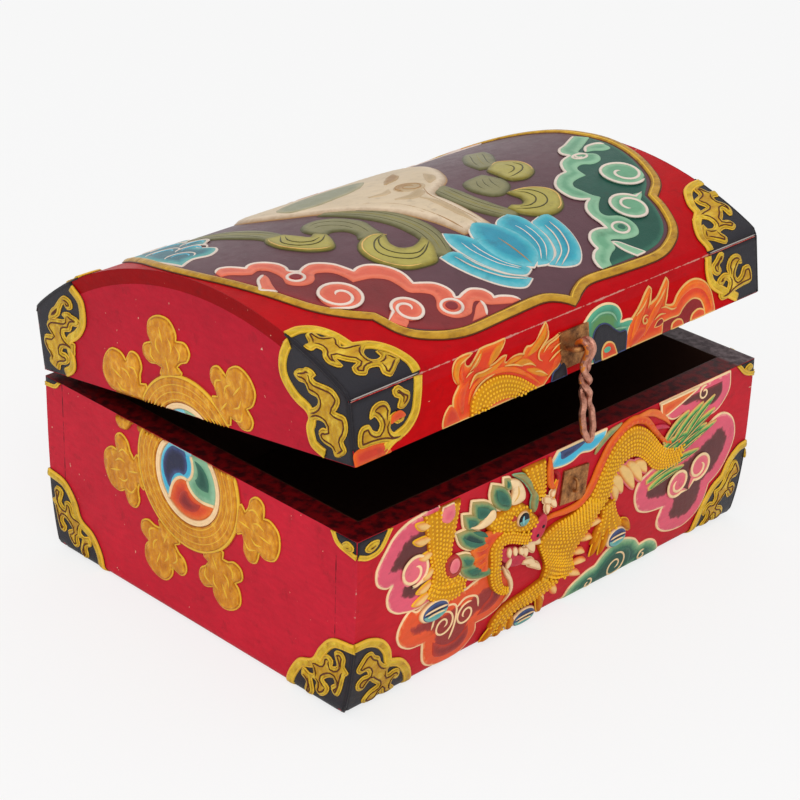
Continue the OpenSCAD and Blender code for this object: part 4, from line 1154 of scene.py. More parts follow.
for lobe in ([(64, 0.4, 1), (64.8, 2.6), (68, 3.6), (71, 2.6), (72, 0.4, 1)],
             [(77, 0.4, 1), (78.6, 3), (82.6, 4.2), (86.2, 2.8), (86.8, 0.4, 1)]):
    cloud(art, lobe, "fire", 0.5, 0.5, 0.9, 0.3, "gold_pale")

art = Art("lid_front_cloud", on_lid_front)
cloud(art, [
    (8, 8, 1), (8.6, 19, 1), (12, 21.6), (15, 23), (20, 23.8), (25, 23), (29, 21), (31.2, 18.4),
    (32, 15.4), (31, 13.2), (36, 12.8), (39, 11.8), (36, 9), (34.6, 6), (33, 2), (32.4, 0.4, 1),
    (9, 0.4, 1),
], "jade", 0.9)
cloud(art, [
    (12.4, 3, 1), (12.4, 10), (13.6, 13.6), (16, 15.6), (19.4, 16), (23, 14.6), (26, 12), (29.6, 9.4),
    (34, 8.4), (33, 0.6, 1), (13, 0.6, 1),
], "black", 0.3, 0.4, 0.9, 0.85, "navy")
cloud(art, [
    (17.6, 0.6, 1), (18, 5), (21, 7.2), (25, 5.6), (27, 0.6, 1),
], "fire", 0.4, 0.5, 0.9, 1.1, "gold_pale")
patch(art, ring(20.8, 4.2, 2.2, 1.3), "jade", 0.3, 0.5, 1.4, 0.8)
for line in ([(12, 18.4), (18, 20.6), (25, 19), (28.6, 14.4)], [(26.6, 11.4), (31, 10.8), (35, 10)]):
    stroke(art, line, 0.5, "green_pale", 0.95, taper=3, sides=4)

# ---------------------------------------------------------------- the lid's top
CARTOUCHE = [
    (123, 0), (123, -10), (122, -20), (118, -35), (112, -49), (105, -60), (94, -67.5, 1), (91.5, -76),
    (85, -88), (75, -95), (62, -98.5), (40, -98), (20, -97), (11, -99.5), (4, -103.5, 1), (-1, -100),
    (-10, -97), (-32, -97.5), (-55, -98), (-70, -94), (-80, -87), (-85, -75, 1), (-95, -68), (-104, -58),
    (-111, -42), (-116, -28), (-120, -14), (-121.5, 0),
]
shape = CARTOUCHE + [(u, -v, *c) for u, v, *c in CARTOUCHE[-2:0:-1]]
edge = curve(shape, step=2.2)
patch(Art("lid_top_ground", on_lid_wrap), edge, "ground", 0.3, 0.3, 0, 4.0)
art = Art("lid_top_border", on_lid_wrap)
bead(art, edge, 2.3, "gold", 0.2, closed=True, rise=0.5)
# a bright gilt line along the inner edge of the border: a painted highlight
bead(art, inset_line(edge, edge, 1.0), 0.55, "gilt_bright", 0.95, closed=True, rise=0.5, sides=4)
for out in (-2.35, 2.35):
    bead(art, inset_line(edge, edge, out), 0.42, "brown", 0.2, closed=True, rise=0.7, sides=4)

TOP_GILT = (
    [(-118.4, 71.4), (-115.2, 71.6), (-114.4, 75.2), (-111.6, 76.4), (-108.8, 77.4), (-108.8, 80.4),
     (-110.4, 83.4), (-105, 84.4), (-100.4, 85.4), (-96, 87.4), (-100.4, 87.6), (-104.4, 90),
     (-104.6, 93.6), (-101.6, 95.4), (-98.4, 94.4), (-98.6, 91.6), (-96, 93.4), (-93.6, 96.2),
     (-92.4, 98.8), (-95.4, 100.6), (-98.8, 102.8), (-102, 104), (-104, 102), (-103, 98.6), (-106.4, 97.4),
     (-108.8, 97.8), (-111.4, 99.6), (-114.8, 97.8), (-114, 94.6), (-110.4, 93.2), (-113.6, 90.6),
     (-117.2, 87.4), (-117.4, 92), (-119.6, 91.4), (-121.6, 88.2), (-120.8, 84.6), (-118.8, 82),
     (-120, 79.2), (-123, 79.6), (-123.8, 76.4), (-120.6, 75.8)],
)
TOP_LEFT = [
    (-124.8, 66), (-118, 66), (-111, 69.5), (-106.5, 76), (-104.5, 83.5, 1), (-97, 86), (-91, 91.5),
    (-87.5, 99), (-87, 105.6),
]
TOP_RIGHT = [
    (124.8, 68), (118, 68.5), (111, 71.5), (104.5, 79.5), (103, 85, 1), (96.5, 90), (91, 98),
    (90.5, 105.6),
]
TOP_EDGE, TOP_ARRIS = 106.4, 106.6
art = Art("lid_top_corners", on_lid_wrap)
for side in (-1, 1):
    border = [(u, v * side, *c) for u, v, *c in TOP_LEFT]
    closing = [(-87, TOP_EDGE * side), (-FACE_U, TOP_EDGE * side)]
    corner(art, border, TOP_GILT, (1, 0, side, 0), closing)
    border = [(u, v * side, *c) for u, v, *c in TOP_RIGHT]
    closing = [(90.5, TOP_EDGE * side), (FACE_U, TOP_EDGE * side)]
    corner(art, border, TOP_GILT, (-1, 1.5, side, 1.5 * side), closing)

for outer, inner in ((-124.75, -87.6), (124.75, 91.4)):
    for side in (-1, 1):
        arris(art, (outer, 67 * side), (outer, TOP_ARRIS * side))
        arris(art, (math.copysign(ARRIS_U, outer), TOP_ARRIS * side), (inner, TOP_ARRIS * side), worn=True)
art = Art("lid_front_corners", on_lid_front)
arris(art, (-ARRIS_U, 7), (-ARRIS_U, 26.6))
arris(art, (ARRIS_U, 0.4), (ARRIS_U, 26.6))
art = Art("base_front_corners", on_base_front)
arris(art, (-ARRIS_U, 4), (-ARRIS_U, 35))
arris(art, (ARRIS_U, 4), (ARRIS_U, 38))

# salmon cloud at the front left: a lined band on red ground, with snail curls
art = Art("lid_top_cloud_salmon", on_lid_wrap)
SALMON_TOP = [
    (-115, -14.6, 1), (-113, -13), (-110.8, -12.4), (-107.6, -14), (-105.2, -17.2), (-103.6, -19.8, 1),
    (-101, -18.2), (-97.6, -18.2), (-94, -20.6), (-91.2, -25), (-91, -29.6), (-92.2, -32.4),
    (-90.6, -34.6), (-88.8, -35.6, 1), (-85, -33.8), (-81, -33.2), (-77, -35.2), (-73.4, -39.2),
    (-71.6, -44), (-70.6, -47.6, 1), (-67, -46.4), (-62.6, -46.8), (-58, -50), (-55, -55), (-54, -60.2),
    (-55.2, -66.6, 1), (-51.8, -68), (-47.2, -70.6), (-44.6, -74.8), (-44.4, -78.8), (-45.6, -81.4),
    (-43.6, -82, 1), (-40, -80.8), (-35.6, -80.2), (-31, -82.6), (-29.2, -86.4), (-29.8, -88.6, 1),
    (-26.8, -88.8), (-22, -91), (-19, -94, 1),
]
SALMON_UNDER = [
    (-24, -94.2, 1), (-30.4, -92.2), (-35, -90.2), (-37.4, -87), (-39.6, -86.8), (-42.6, -89),
    (-45.4, -91.4), (-50, -91.8), (-54.4, -90.4), (-57.6, -86.4), (-57, -82.6), (-54, -79), (-53.2, -75.6),
    (-56.2, -72.8), (-60.8, -70), (-61.4, -64.6), (-62.6, -59.2), (-67, -55.6), (-71.2, -54.4),
    (-76.4, -53.6, 1), (-76.6, -49.2), (-78.2, -44), (-81.6, -41.2), (-85, -40.4), (-88, -43.6),
    (-91.4, -45.4), (-95.6, -45), (-99, -42.4), (-100, -39.6), (-98.2, -35.8), (-97.6, -32), (-98.2, -27),
    (-101, -24.4), (-105.4, -25.6, 1), (-108.6, -23.4), (-112.2, -20), (-116, -19, 1),
]
patch(art, curve(SALMON_TOP + [
    (-32, -95.2, 1), (-55, -95.8), (-68, -91.5), (-77.5, -85), (-82.8, -74, 1), (-93, -66), (-102, -56.5),
    (-108.5, -41), (-114, -27), (-117.5, -15, 1),
]), "salmon_ground", 0.45, 0.8, 0.15, 1.8)
patch(art, curve(SALMON_TOP + SALMON_UNDER), "salmon", 0.7, 1.2, 0.5, 1.3, rough=0.12)
stroke(art, SALMON_TOP, 0.8, "cream", 0.75, taper=2, sides=5)
for u, v, r, k, hole in ((-93.9, -38.8, 3.7, 0.88, 2.5), (-51, -85.1, 5.0, 0.82, 2.9)):
    patch(art, ring(u + 0.2, v + 0.3, hole, hole * k), "salmon_ground", 0.3, 0.4, 1.2, 1.0)
    bead(art, ring(u, v, r, r * k), 0.75, "cream", 1.05, closed=True, sides=5)
stroke(art, [(-90.4, -38.2), (-89.8, -36.8), (-88.4, -35.6)], 0.65, "cream", 1.0, taper=1, sides=5)
snail(art, -88.5, -58.9, 9.2, 250, 1.7, "salmon", (-98.5, -63.6))
patch(art, curve([
    (-82, -80.6, 1), (-77, -76, 1), (-73.6, -83), (-77.4, -86.4, 1),
]), "salmon", 0.6, 0.8, 0.6, 1.2)
snail(art, -69.8, -78.3, 6.8, 170, -1.6, "salmon", (-82, -80.4))
for claw, lined in (
    ([(-107.8, -43.4, 1), (-112.6, -39), (-111.2, -36.8), (-107.6, -31.8), (-102.6, -29.2), (-102.4, -32),
      (-105.4, -37.6)], 5),
    ([(-40, -95, 1), (-37.4, -91), (-36.6, -87.4, 1), (-40.5, -89), (-44.5, -92.2), (-48.5, -95.2, 1)], 3),
):
    patch(art, curve(claw), "salmon", 0.6, 0.8, 0.55, 1.2)
    stroke(art, claw[:lined], 0.75, "cream", 0.95, taper=1.5, sides=5)

# green cloud at the right
art = Art("lid_top_cloud_green", on_lid_wrap)
GREEN_TOP = [
    (116.4, -0.6, 1), (109.4, -4), (102.4, -7.6), (96.4, -9.8), (93, -12.8), (91.6, -16), (92.2, -19.6, 1),
    (86.6, -21), (81.8, -23.6), (77.8, -28), (75.4, -32, 1), (70, -32.8), (65, -35.4), (60.6, -39.2),
    (58.2, -44), (57.8, -50), (60.2, -54), (64.4, -56, 1), (60, -58), (56, -61.8), (54.2, -66.6),
    (54.2, -71.6), (53.6, -76, 1), (49.2, -74.6), (44.4, -75), (40.4, -78), (38.8, -81.6),
    (38.6, -84.4, 1), (35, -85.8), (31.6, -88.8), (30.2, -93), (31, -95, 1),
]
GREEN_UNDER = [
    (37, -95, 1), (38.6, -92), (43, -89.2), (47.4, -87.2), (49, -82.8), (52.4, -83.4), (56.2, -85),
    (62, -85.6), (66, -84.4), (68.6, -80.4), (68.6, -75.4), (66, -71.4), (61, -69), (60.8, -65.4),
    (65, -61), (70.4, -57.2, 1), (68.4, -54.2), (67.4, -49.8), (67, -44.8), (70.4, -41), (75.8, -39.6),
    (80.6, -39.4, 1), (81.8, -34.6), (84.2, -31.2), (89, -30.2), (92.6, -32.6), (98.4, -32.2),
    (102.4, -28.8), (103, -25.4), (100.4, -22), (99.4, -18.4), (105.4, -15.4), (112.4, -11.6),
    (119, -8, 1),
]
patch(art, curve(GREEN_TOP + [
    (46, -95, 1), (62, -94.6), (73.5, -91.5), (82, -85), (88, -75), (91, -65.5, 1), (101.5, -57.5),
    (109, -47), (114.6, -34.5), (118.6, -21), (119.6, -8, 1),
]), "green_dark", 0.45, 0.8, 0.15, 1.8)
patch(art, curve(GREEN_TOP + GREEN_UNDER), "green_pale", 0.7, 1.4, 0.5, 1.3, rough=0.12)
stroke(art, GREEN_TOP, 0.75, "cream", 0.75, taper=2, sides=5)
bead(art, ring(94.4, -23.6, 4.0, 2.6), 0.7, "cream", 1.05, closed=True, sides=5)
curl(art, 94.4, -23.6, 2.8, 20, 0.9, "cream", 0.6, 1.05)
bead(art, ring(59.8, -78.6, 4.2, 3.6), 0.7, "cream", 1.05, closed=True, sides=5)
patch(art, ring(60.6, -78.4, 1.9, 1.7), "green_dark", 0.3, 0.4, 1.15, 1.0)
snail(art, 96, -47.6, 10.3, 300, -1.65, "green_pale", None)
snail(art, 76.6, -68.6, 9.0, 25, 1.6, "green_pale", (90.6, -63.6))
blade = [
    (101.6, -20.8, 1), (106.4, -16.8), (112.6, -16.6), (116.2, -19.4, 1), (114.6, -24.6), (110, -25),
    (106, -22),
]
patch(art, curve(blade), "green_pale", 0.6, 1.0, 0.45, 1.2)
stroke(art, blade[:4], 0.8, "cream", 0.85, taper=1.5, sides=5)
cloud(art, [
    (48.4, -83.8, 1), (51.4, -85.6), (54.6, -90), (58.6, -95, 1), (53, -95.2, 1), (49.8, -90),
], "green_pale", 0.5, 0.55, 0.9, 0.7)

# scarves that curl on both sides of the stem
art = Art("lid_top_ribbons", on_lid_wrap)
OLIVE = (
    ([(-78, 46), (-75, 32), (-72, 18), (-70, 6), (-70.5, -2)], 13.5),
    ([(-34, 11), (-27.4, -1), (-22.4, -13), (-19.8, -27), (-20.8, -41), (-25.4, -52), (-30, -57.6)], 13.0),
    ([(76, 25), (69, 16), (61, 6), (56, -4)], 14.0),
    ([(21, -4), (18.4, -15), (17.2, -27), (19.4, -39), (25, -50)], 12.5),
)
for line, width in OLIVE:
    ribbon(art, line, width, "olive_dull", 0.1, 0.9, (0.7, 0.7), 0.45, "olive_line")
    spine = curve(line, closed=False, step=2.0)
    for off in (-0.22, 0.0, 0.2):
        crease = (spine + across(spine) * width * off)[2:-2]
        bead(art, crease, 0.3, "olive_shade" if off else "olive", 0.95, rise=0.5, taper=5, sides=4)
FOLDED = (
    ([(-57.4, -3.4), (-54.4, 1), (-49, 3.8), (-42.2, 3.2), (-36.8, -1.2), (-33.4, -8), (-32.2, -14.6),
      (-34.4, -22.4), (-35.6, -29, 1), (-45.6, -29), (-47.8, -26.8, 1), (-45, -22.4), (-45.6, -16.8),
      (-50, -13.4), (-54.4, -14.6, 1), (-56.8, -11.2), (-57.8, -6.8)],
     ([(-53, -1.6), (-47, -0.4), (-41, -4), (-38, -11), (-38, -18), (-40, -26)],
      [(-55, -6), (-50, -4.6), (-45.4, -7), (-42, -13), (-41.6, -20)])),
    ([(27.2, -20), (28.8, -14.6), (33.2, -9.6), (41, -8), (46.6, -8, 1), (48.2, -19), (45.6, -25.6),
      (40, -30), (34.4, -31.8), (30, -30), (27.8, -25.6)],
     ([(38.6, -12), (33.6, -18), (32.2, -25)], [(45.4, -12.6), (41, -19.4), (38.6, -27)],
      [(42, -12), (37.4, -18.6), (35.4, -26)])),
)
for outline, folds in FOLDED:
    cloud(art, outline, "olive_dull", 0.9, 0.45, 1.6, 0.15, "olive_line")
    for line in folds:
        stroke(art, line, 0.32, "olive_shade", 0.98, rise=0.5, taper=5, sides=4)
MOONS = (
    ([(-35.6, -30.4, 1), (-39.4, -27.4), (-44.4, -27.2), (-50.8, -30), (-55.4, -35), (-57.4, -41.4),
      (-56.8, -47.6), (-53.6, -54), (-48.2, -58.2), (-41, -59.6), (-33.8, -59.2), (-28.8, -53.4),
      (-25.4, -47.6), (-24.4, -40.4, 1), (-30, -43.8), (-35.6, -45.2), (-40, -43.2), (-40.6, -38.6),
      (-37.8, -33.4)],
     ([(-37.2, -30.6), (-44.4, -33.2), (-49.8, -38.6), (-51, -44), (-48, -49.4), (-41.8, -53.4),
       (-34.6, -52), (-26, -46.4)],
      [(-38.6, -31.8), (-42.6, -33.4), (-46.2, -38.6), (-46.2, -44), (-42.6, -48.6), (-36.4, -50.8),
       (-29, -47.6)])),
    ([(-74.4, 1.6, 1), (-77.4, -3.4), (-78.2, -11.2), (-75.6, -18), (-71.2, -24), (-64.6, -27.4),
      (-60, -25.8), (-55.6, -19), (-54, -14.6, 1), (-57.4, -10), (-61.2, -11.8), (-63, -8), (-64.6, -3.6),
      (-65.6, -0.6, 1)],
     ([(-69, -2.4), (-74, -9), (-72.4, -15.6), (-66.8, -19.6), (-61.2, -19), (-55.4, -15)],
      [(-67.6, -3.6), (-70.4, -9), (-69, -14), (-64.6, -16.8), (-59, -15.6)])),
    ([(37.2, -31.2, 1), (43.4, -31.4), (49.4, -33), (54.4, -36.6), (56.6, -41), (55.8, -46), (52.4, -51),
      (48.4, -54.8), (42.6, -56.8), (36.6, -56.4), (31.2, -53.8), (26.4, -48.4), (25.4, -42.8, 1),
      (29.2, -41.4), (32.8, -43.4), (36.2, -42.4), (38.2, -38.8), (37.4, -34.8)],
     ([(43, -33.4), (47.4, -37), (48.6, -43), (45.4, -48), (39.6, -50), (33.6, -48.8), (28, -45.6)],
      [(40.6, -34.4), (43.4, -37), (43.8, -42), (40.6, -45.4), (35.6, -46.6), (31, -45.4)])),
    ([(55.4, -3.4, 1), (63.2, 0), (68.2, -3.4), (71, -9), (70, -15.6), (66.6, -21.2), (61, -24.6),
      (55.6, -25.6), (50, -23.4), (48.8, -20, 1), (50, -13.4), (51.6, -6.8)],
     ([(66.8, -8), (66.6, -13.4), (62.2, -17.8), (55.6, -20), (51, -20.4)],
      [(62.6, -7), (62.6, -12), (59, -15.6), (54, -16.8)])),
)
for outline, folds in MOONS:
    shape = curve(outline)
    cloud(art, shape, "olive", 1.1, 0.45, 1.2, 0.3, "olive_line")
    for line in folds:
        stroke(art, line, 0.4, "olive_line", 1.4, rise=0.6, taper=5, sides=4)
    bead(art, (shape + (shape.mean(0) - shape) * 0.1)[: int(len(shape) * 0.5)], 0.4, "gold_pale", 1.3,
         rise=0.5, taper=6, sides=4)

# conch: a body that opens to the back, with its stem to the front
art = Art("lid_top_conch", on_lid_wrap)
cloud(art, [
    (-7.4, -49, 1), (-9, -39), (-11, -30), (-13.4, -22), (-17, -14), (-24, -3), (-35, 10), (-46, 24),
    (-50, 42), (-42, 60), (-22, 72), (0, 76), (22, 70), (41, 56), (49, 40), (47, 24), (39.5, 10), (31, -1),
    (20, -8), (12.8, -12.5), (11.6, -22), (10.4, -34), (9, -49, 1),
], "shell", 1.9, 0.6, 6.0, 0.2, grid=2.4, rim="shell_line")
# the whorl on its shoulder, a grey-green shade over its back, and its mouth behind
patch(art, curve([
    (-41, 23), (-31, 18.6), (-18, 19.6), (-5, 22), (6, 27), (16, 38), (2, 46), (-20, 44), (-38, 35),
]), "shell_green", 0.3, 4.0, 2.1, 1.8)
for line, width, material in (
    ([(-24, 38), (-23.6, 28), (-27, 20)], 5.0, "olive_shade"),
    ([(-6, -6), (2, -9), (9, -6), (12, 0)], 6.0, "shell_shade"),
    ([(21, -1), (28, 6), (32, 14)], 5.0, "shell_shade"),
    ([(10, 16), (20, 22), (30, 32)], 6.0, "shell_brown"),
    ([(2.6, -46), (3.4, -32), (4.4, -20), (3, -10)], 4.0, "shell_shade"),
    ([(-10, 6), (-2, 4), (4, 8)], 4.0, "shell_shade"),
):
    ribbon(art, line, width, material, 2.08, 0.3, (0.2, 0.1))
patch(art, ring(11, 2, 7.6, 6.6), "shell_shade", 0.4, 2.4, 2.05, 1.3)
patch(art, curve([
    (3.6, 1), (6, 6), (11, 8), (16, 5.6), (17, 1), (13.6, 3.6), (9.6, 3.6), (6.4, 1.6),
]), "shell_brown", 0.25, 1.2, 2.35, 1.0)
bead(art, swirl(11, 1.6, 7.0, 1.4, 200, -1.7, 50), 0.4, "shell_line", 2.4, rise=0.7, taper=3, sides=4)
for k in range(3):
    line = [
        (-42 + 6 * k, 28 - 4 * k), (-30 + 4 * k, 12 - 5 * k), (-14 + 2 * k, -6 - 4 * k),
        (-7 + 1.4 * k, -30),
    ]
    stroke(art, line, 0.3, "shell_line", 1.85, rise=0.5, taper=6, sides=4)
curl(art, 2, 62, 9, 200, -1.6, "shell_line", 0.5, 1.9)
cloud(art, [(-10, 56), (0, 53.4), (12, 55), (17, 61), (9, 67), (-5, 66)], "salmon", 0.4, 0.5, 1.5, 1.8)
for s in (-1, 1):
    stroke(art, [
        (5.6 * s, -46), (6 * s, -30), (9 * s, -12), (20 * s, 4),
    ], 0.4, "shell_line", 1.8, taper=5, sides=4)

# lotus under the stem: tall petals with piped edges
art = Art("lid_top_lotus", on_lid_wrap)
PETALS = (
    ([(-30.6, -57.6, 1), (-24, -56.6), (-20.6, -59.6), (-19, -68), (-13.4, -79), (-4, -86.4, 1),
      (-11.5, -89), (-20, -84), (-26.6, -74.6), (-30, -65)], 0.0),
    ([(37.4, -53.8, 1), (30, -55.6), (25.4, -58), (24, -68), (18.4, -78.6), (8.6, -82.6, 1), (16, -87),
      (24, -87.6), (31.6, -80.6), (36.4, -70), (38, -60)], 0.0),
    ([(-15.8, -44.2, 1), (-9.6, -50), (-6.4, -59), (-6, -70), (-0.4, -82, 1), (-6, -83.6), (-13, -79),
      (-18.4, -70), (-20.2, -60), (-19.4, -51)], 0.35),
    ([(21, -46.6, 1), (13, -48.6), (9, -54), (9.4, -68), (4, -81.6, 1), (10.6, -82.4), (17.6, -78),
      (22.6, -69.6), (24.6, -60), (24.6, -52)], 0.35),
    ([(1.2, -43.2, 1), (-5.6, -50.6), (-9.4, -60), (-9.4, -70), (-5.6, -77.4), (1.4, -81.8, 1),
      (8.8, -77.4), (12.2, -70), (12.4, -60), (8.6, -50.6)], 0.7),
)
for shape, level in PETALS:
    cloud(art, shape, "lotus", 1.1, 0.6, 1.4, 0.1 + level, grid=1.6)
FOLDS = (
    [(-25.6, -61), (-23.6, -70), (-17, -80), (-7.6, -86)],
    [(-21.8, -62), (-20.4, -70), (-14.6, -79.4), (-6, -85.4)],
    [(-15, -52), (-15.6, -62), (-12, -73), (-3.6, -82)],
    [(-11.6, -55), (-12, -64), (-9, -74), (-2.4, -81.6)],
    [(28.6, -62), (26.6, -70), (21, -79), (11.6, -84.6)],
    [(32.6, -61), (30.6, -70), (25, -79.6), (14, -86)],
    [(16, -54), (16.6, -62), (14, -72), (6.6, -81)],
    [(20, -55), (20, -64), (17, -73), (9, -81.6)],
)
for line in FOLDS:
    stroke(art, line, 0.36, "cream", 1.35, taper=5, sides=4)
stroke(art, [(1.4, -60), (1.6, -70), (1.4, -80)], 0.4, "shell_line", 1.85, taper=6, sides=4)

# teal leaves and clouds towards the back
art = Art("lid_top_cloud_teal", on_lid_wrap)
cloud(art, [
    (-117, 4, 1), (-108, 8), (-100, 6), (-92, 12), (-94, 22), (-86, 26), (-80, 34), (-84, 44), (-76, 50),
    (-72, 60), (-76, 70), (-66, 76), (-58, 86), (-62, 94, 1), (-76, 88), (-84, 76), (-94, 68), (-103, 56),
    (-110, 42), (-116, 26),
], "teal", 0.8, 0.75, 2.0, 0.15, grid=2.0)
for u, v, r in ((-108, 16, 6.5), (-97, 22, 7.0), (-88, 31, 6.5), (-103, 34, 7.5), (-90, 47, 8.0)):
    for f in (1.0, 0.6):
        bead(art, ring(u, v, r * f, r * f * 0.9, start=-70, end=150, count=20), 0.5,
             "cream" if f == 1 else "cyan", 0.75, taper=3, sides=4)
curl(art, -84, 64, 7, 60, 1.6, level=0.9)
cloud(art, [
    (112, 52, 1), (104, 53), (97, 56), (92, 61), (93, 66), (86, 66), (80, 70), (82, 75), (74, 78),
    (66, 82), (54, 88), (44, 94, 1), (62, 94), (78, 88), (88, 76), (92, 69, 1), (102, 61), (109, 55),
], "salmon", 0.8, 0.75, 2.0, 0.15, grid=2.0)
curl(art, 98, 60, 4, 60, 1.4, level=0.9)
curl(art, 80, 78, 6, 120, -1.6, level=0.9)

# the back wears only corner panels, those of the front's left on both sides
for side in (-1, 1):
    way = (-side, 0, 1, 0)
    border = [(-side * u, v, *c) for u, v, *c in FRONT_LOW_LEFT]
    closing = [(side * FACE_U, FOOT_V)]
    corner(Art("base_back_corners", on_base_back), border, FRONT_GILT, way, closing)
    border = [(-side * u, v, *c) for u, v, *c in LID_FRONT_LEFT]
    closing = [(side * FACE_U, 0.3), (side * FACE_U, 26)]
    corner(Art("lid_back_corners", on_lid_back), border, LID_FRONT_GILT, way, closing)


# ---------------------------------------------------------------- materials
def srgb(*colour):
    """A colour given as 0 to 255, in the linear values that Blender takes."""
    linear = [c / 255 / 12.92 if c <= 10 else ((c / 255 + 0.055) / 1.055) ** 2.4 for c in colour]
    return (*linear, 1.0)


class Graph:
    """Short ways of adding nodes to a material or a world."""

    def __init__(self, owner):
        self.owner = owner
        owner.use_nodes = True
        self.tree = owner.node_tree
        self.tree.nodes.clear()

    def add(self, kind, values=(), **settings):
        node = self.tree.nodes.new(kind)
        for key, value in settings.items():
            setattr(node, key, value)
        for key, value in dict(values).items():
            if hasattr(value, "is_linked"):
                self.tree.links.new(value, node.inputs[key])
            else:
                node.inputs[key].default_value = value
        return node

    def math(self, operation, a, b=0.0, c=0.0):
        return self.add("ShaderNodeMath", {0: a, 1: b, 2: c}, operation=operation).outputs[0]

    def times(self, a, b):
        return self.math("MULTIPLY", a, b)

    def minus(self, a, b):
        return self.math("SUBTRACT", a, b)

    def gap(self, a, b):
        """How far a is from b."""
        return self.math("ABSOLUTE", self.minus(a, b))

    def mix(self, factor, a, b):
        # a colour mix takes its two colours at these inputs and gives the result at output 2
        node = self.add("ShaderNodeMix", {"Factor": factor, 6: a, 7: b}, data_type="RGBA")
        return node.outputs[2]

    def steps(self, value, low, high):
        """0 at low and before it, 1 at high and past it; low may be the larger."""
        limits = {"Value": value, "From Min": low, "From Max": high}
        return self.add("ShaderNodeMapRange", limits, clamp=True).outputs[0]

    def noise(self, at, scale, detail=3.0, roughness=0.55):
        values = {"Vector": at, "Scale": scale, "Detail": detail, "Roughness": roughness}
        return self.add("ShaderNodeTexNoise", values).outputs[0]

    def place(self, scale=(1000, 1000, 1000), location=(0, 0, 0), turn=0.0):
        """Where a point lies, in millimetres of its object."""
        at = self.add("ShaderNodeTexCoord").outputs["Object"]
        values = {"Vector": at, "Scale": scale, "Location": location, "Rotation": (turn, 0, 0)}
        return self.add("ShaderNodeMapping", values).outputs[0]

    def finish(self, colour, rough, height, bump=0.25, metal=0.0, coat=0.0, coat_rough=0.2, specular=0.16):
        bumped = self.add("ShaderNodeBump", {"Height": height, "Strength": bump, "Distance": 0.0006})
        shader = self.add(
            "ShaderNodeBsdfPrincipled",
            {
                "Base Color": colour,
                "Roughness": rough,
                "Metallic": metal,
                "Normal": bumped.outputs[0],
                "Coat Weight": coat,
                "Coat Roughness": coat_rough,
                "Specular IOR Level": specular,
            },
        )
        self.add("ShaderNodeOutputMaterial", {"Surface": shader.outputs[0]})
        return self.owner


GESSO = srgb(226, 204, 170)
GRIME = srgb(58, 24, 22)


def hand_painted(g, colour, at, worn=0.5, streak=1.0):
    """Brush strokes, grime and small chips over a colour; returns the colour and a height."""
    strokes = g.noise(g.place((1000, 1000, 2600)), 0.16, 4.0, 0.6)
    blotch = g.noise(at, 0.035, 3.0, 0.6)
    grain = g.noise(at, 1.1, 4.0, 0.65)
    value = g.math("MULTIPLY_ADD", strokes, 0.4 * streak, 1 - 0.2 * streak)
    value = g.times(value, g.math("MULTIPLY_ADD", blotch, 0.44, 0.79))
    toned = g.add("ShaderNodeHueSaturation", {"Value": value, "Color": colour}).outputs[0]
    dirt = g.times(g.steps(g.noise(at, 0.11, 5.0, 0.7), 0.58, 0.8), 0.42)
    toned = g.mix(dirt, toned, GRIME)
    chips = g.times(g.steps(grain, 0.775 - 0.02 * worn, 0.79), worn)
    toned = g.mix(chips, toned, GESSO)
    height = g.math("MULTIPLY_ADD", grain, 0.6, g.times(strokes, 0.8))
    return toned, height


def paint(name):
    """The material of one relief paint. Its colour runs from the edge of a shape to its core."""
    if name in bpy.data.materials:
        return bpy.data.materials[name]
    colours, reach, rough, worn, coat = PAINTS[name]
    g = Graph(bpy.data.materials.new(name))
    at = g.place()
    depth = g.add("ShaderNodeAttribute", attribute_name="depth").outputs["Fac"]
    wander = g.math("MULTIPLY_ADD", g.noise(at, 0.35, 2.0), reach * 0.5, -reach * 0.25)
    depth = g.math("ADD", depth, wander)
    colour = srgb(*colours[0])
    for k, nxt in enumerate(colours[1:]):
        low = reach * k / max(1, len(colours) - 1)
        high = reach * (k + 1) / max(1, len(colours) - 1)
        colour = g.mix(g.steps(depth, low, high), colour, srgb(*nxt))
    if name in LEAFED:
        # rubbed gold: bright strokes over darker ones
        bright, dull = LEAFED[name]
        rub = g.noise(g.place((700, 1700, 1100), turn=0.6), 0.17, 3.5, 0.6)
        colour = g.mix(g.times(g.steps(rub, 0.5, 0.68), 0.6), colour, srgb(*bright))
        colour = g.mix(g.times(g.steps(rub, 0.47, 0.3), 0.6), colour, srgb(*dull))
        colour, height = hand_painted(g, colour, at, worn, 0.5)
        height = g.math("MULTIPLY_ADD", rub, 2.4, height)
        shine = g.math("MULTIPLY_ADD", rub, -0.3, rough + 0.14)
        return g.finish(colour, shine, height, 0.5, coat=coat * 0.5)
    colour, height = hand_painted(g, colour, at, worn, 0.7)
    shine = g.math("MULTIPLY_ADD", g.noise(at, 0.2, 3.0), 0.24, rough - 0.12)
    return g.finish(colour, shine, height, 0.3, coat=coat, specular=0.06 if name in DRAGON_GOLD else 0.16)


# the paints of the dragon's beads are less glossy; the pips' bright paint is partly a painted highlight
DRAGON_GOLD = ("dragon", "gold_bright")
# bright and dull strokes of the gilt paints
LEAFED = {
    "wheel_gold": ((250, 192, 62), (172, 92, 6)),
    "gilt": ((246, 212, 72), (160, 100, 6)),
    "gold": ((226, 176, 60), (136, 84, 18)),
}

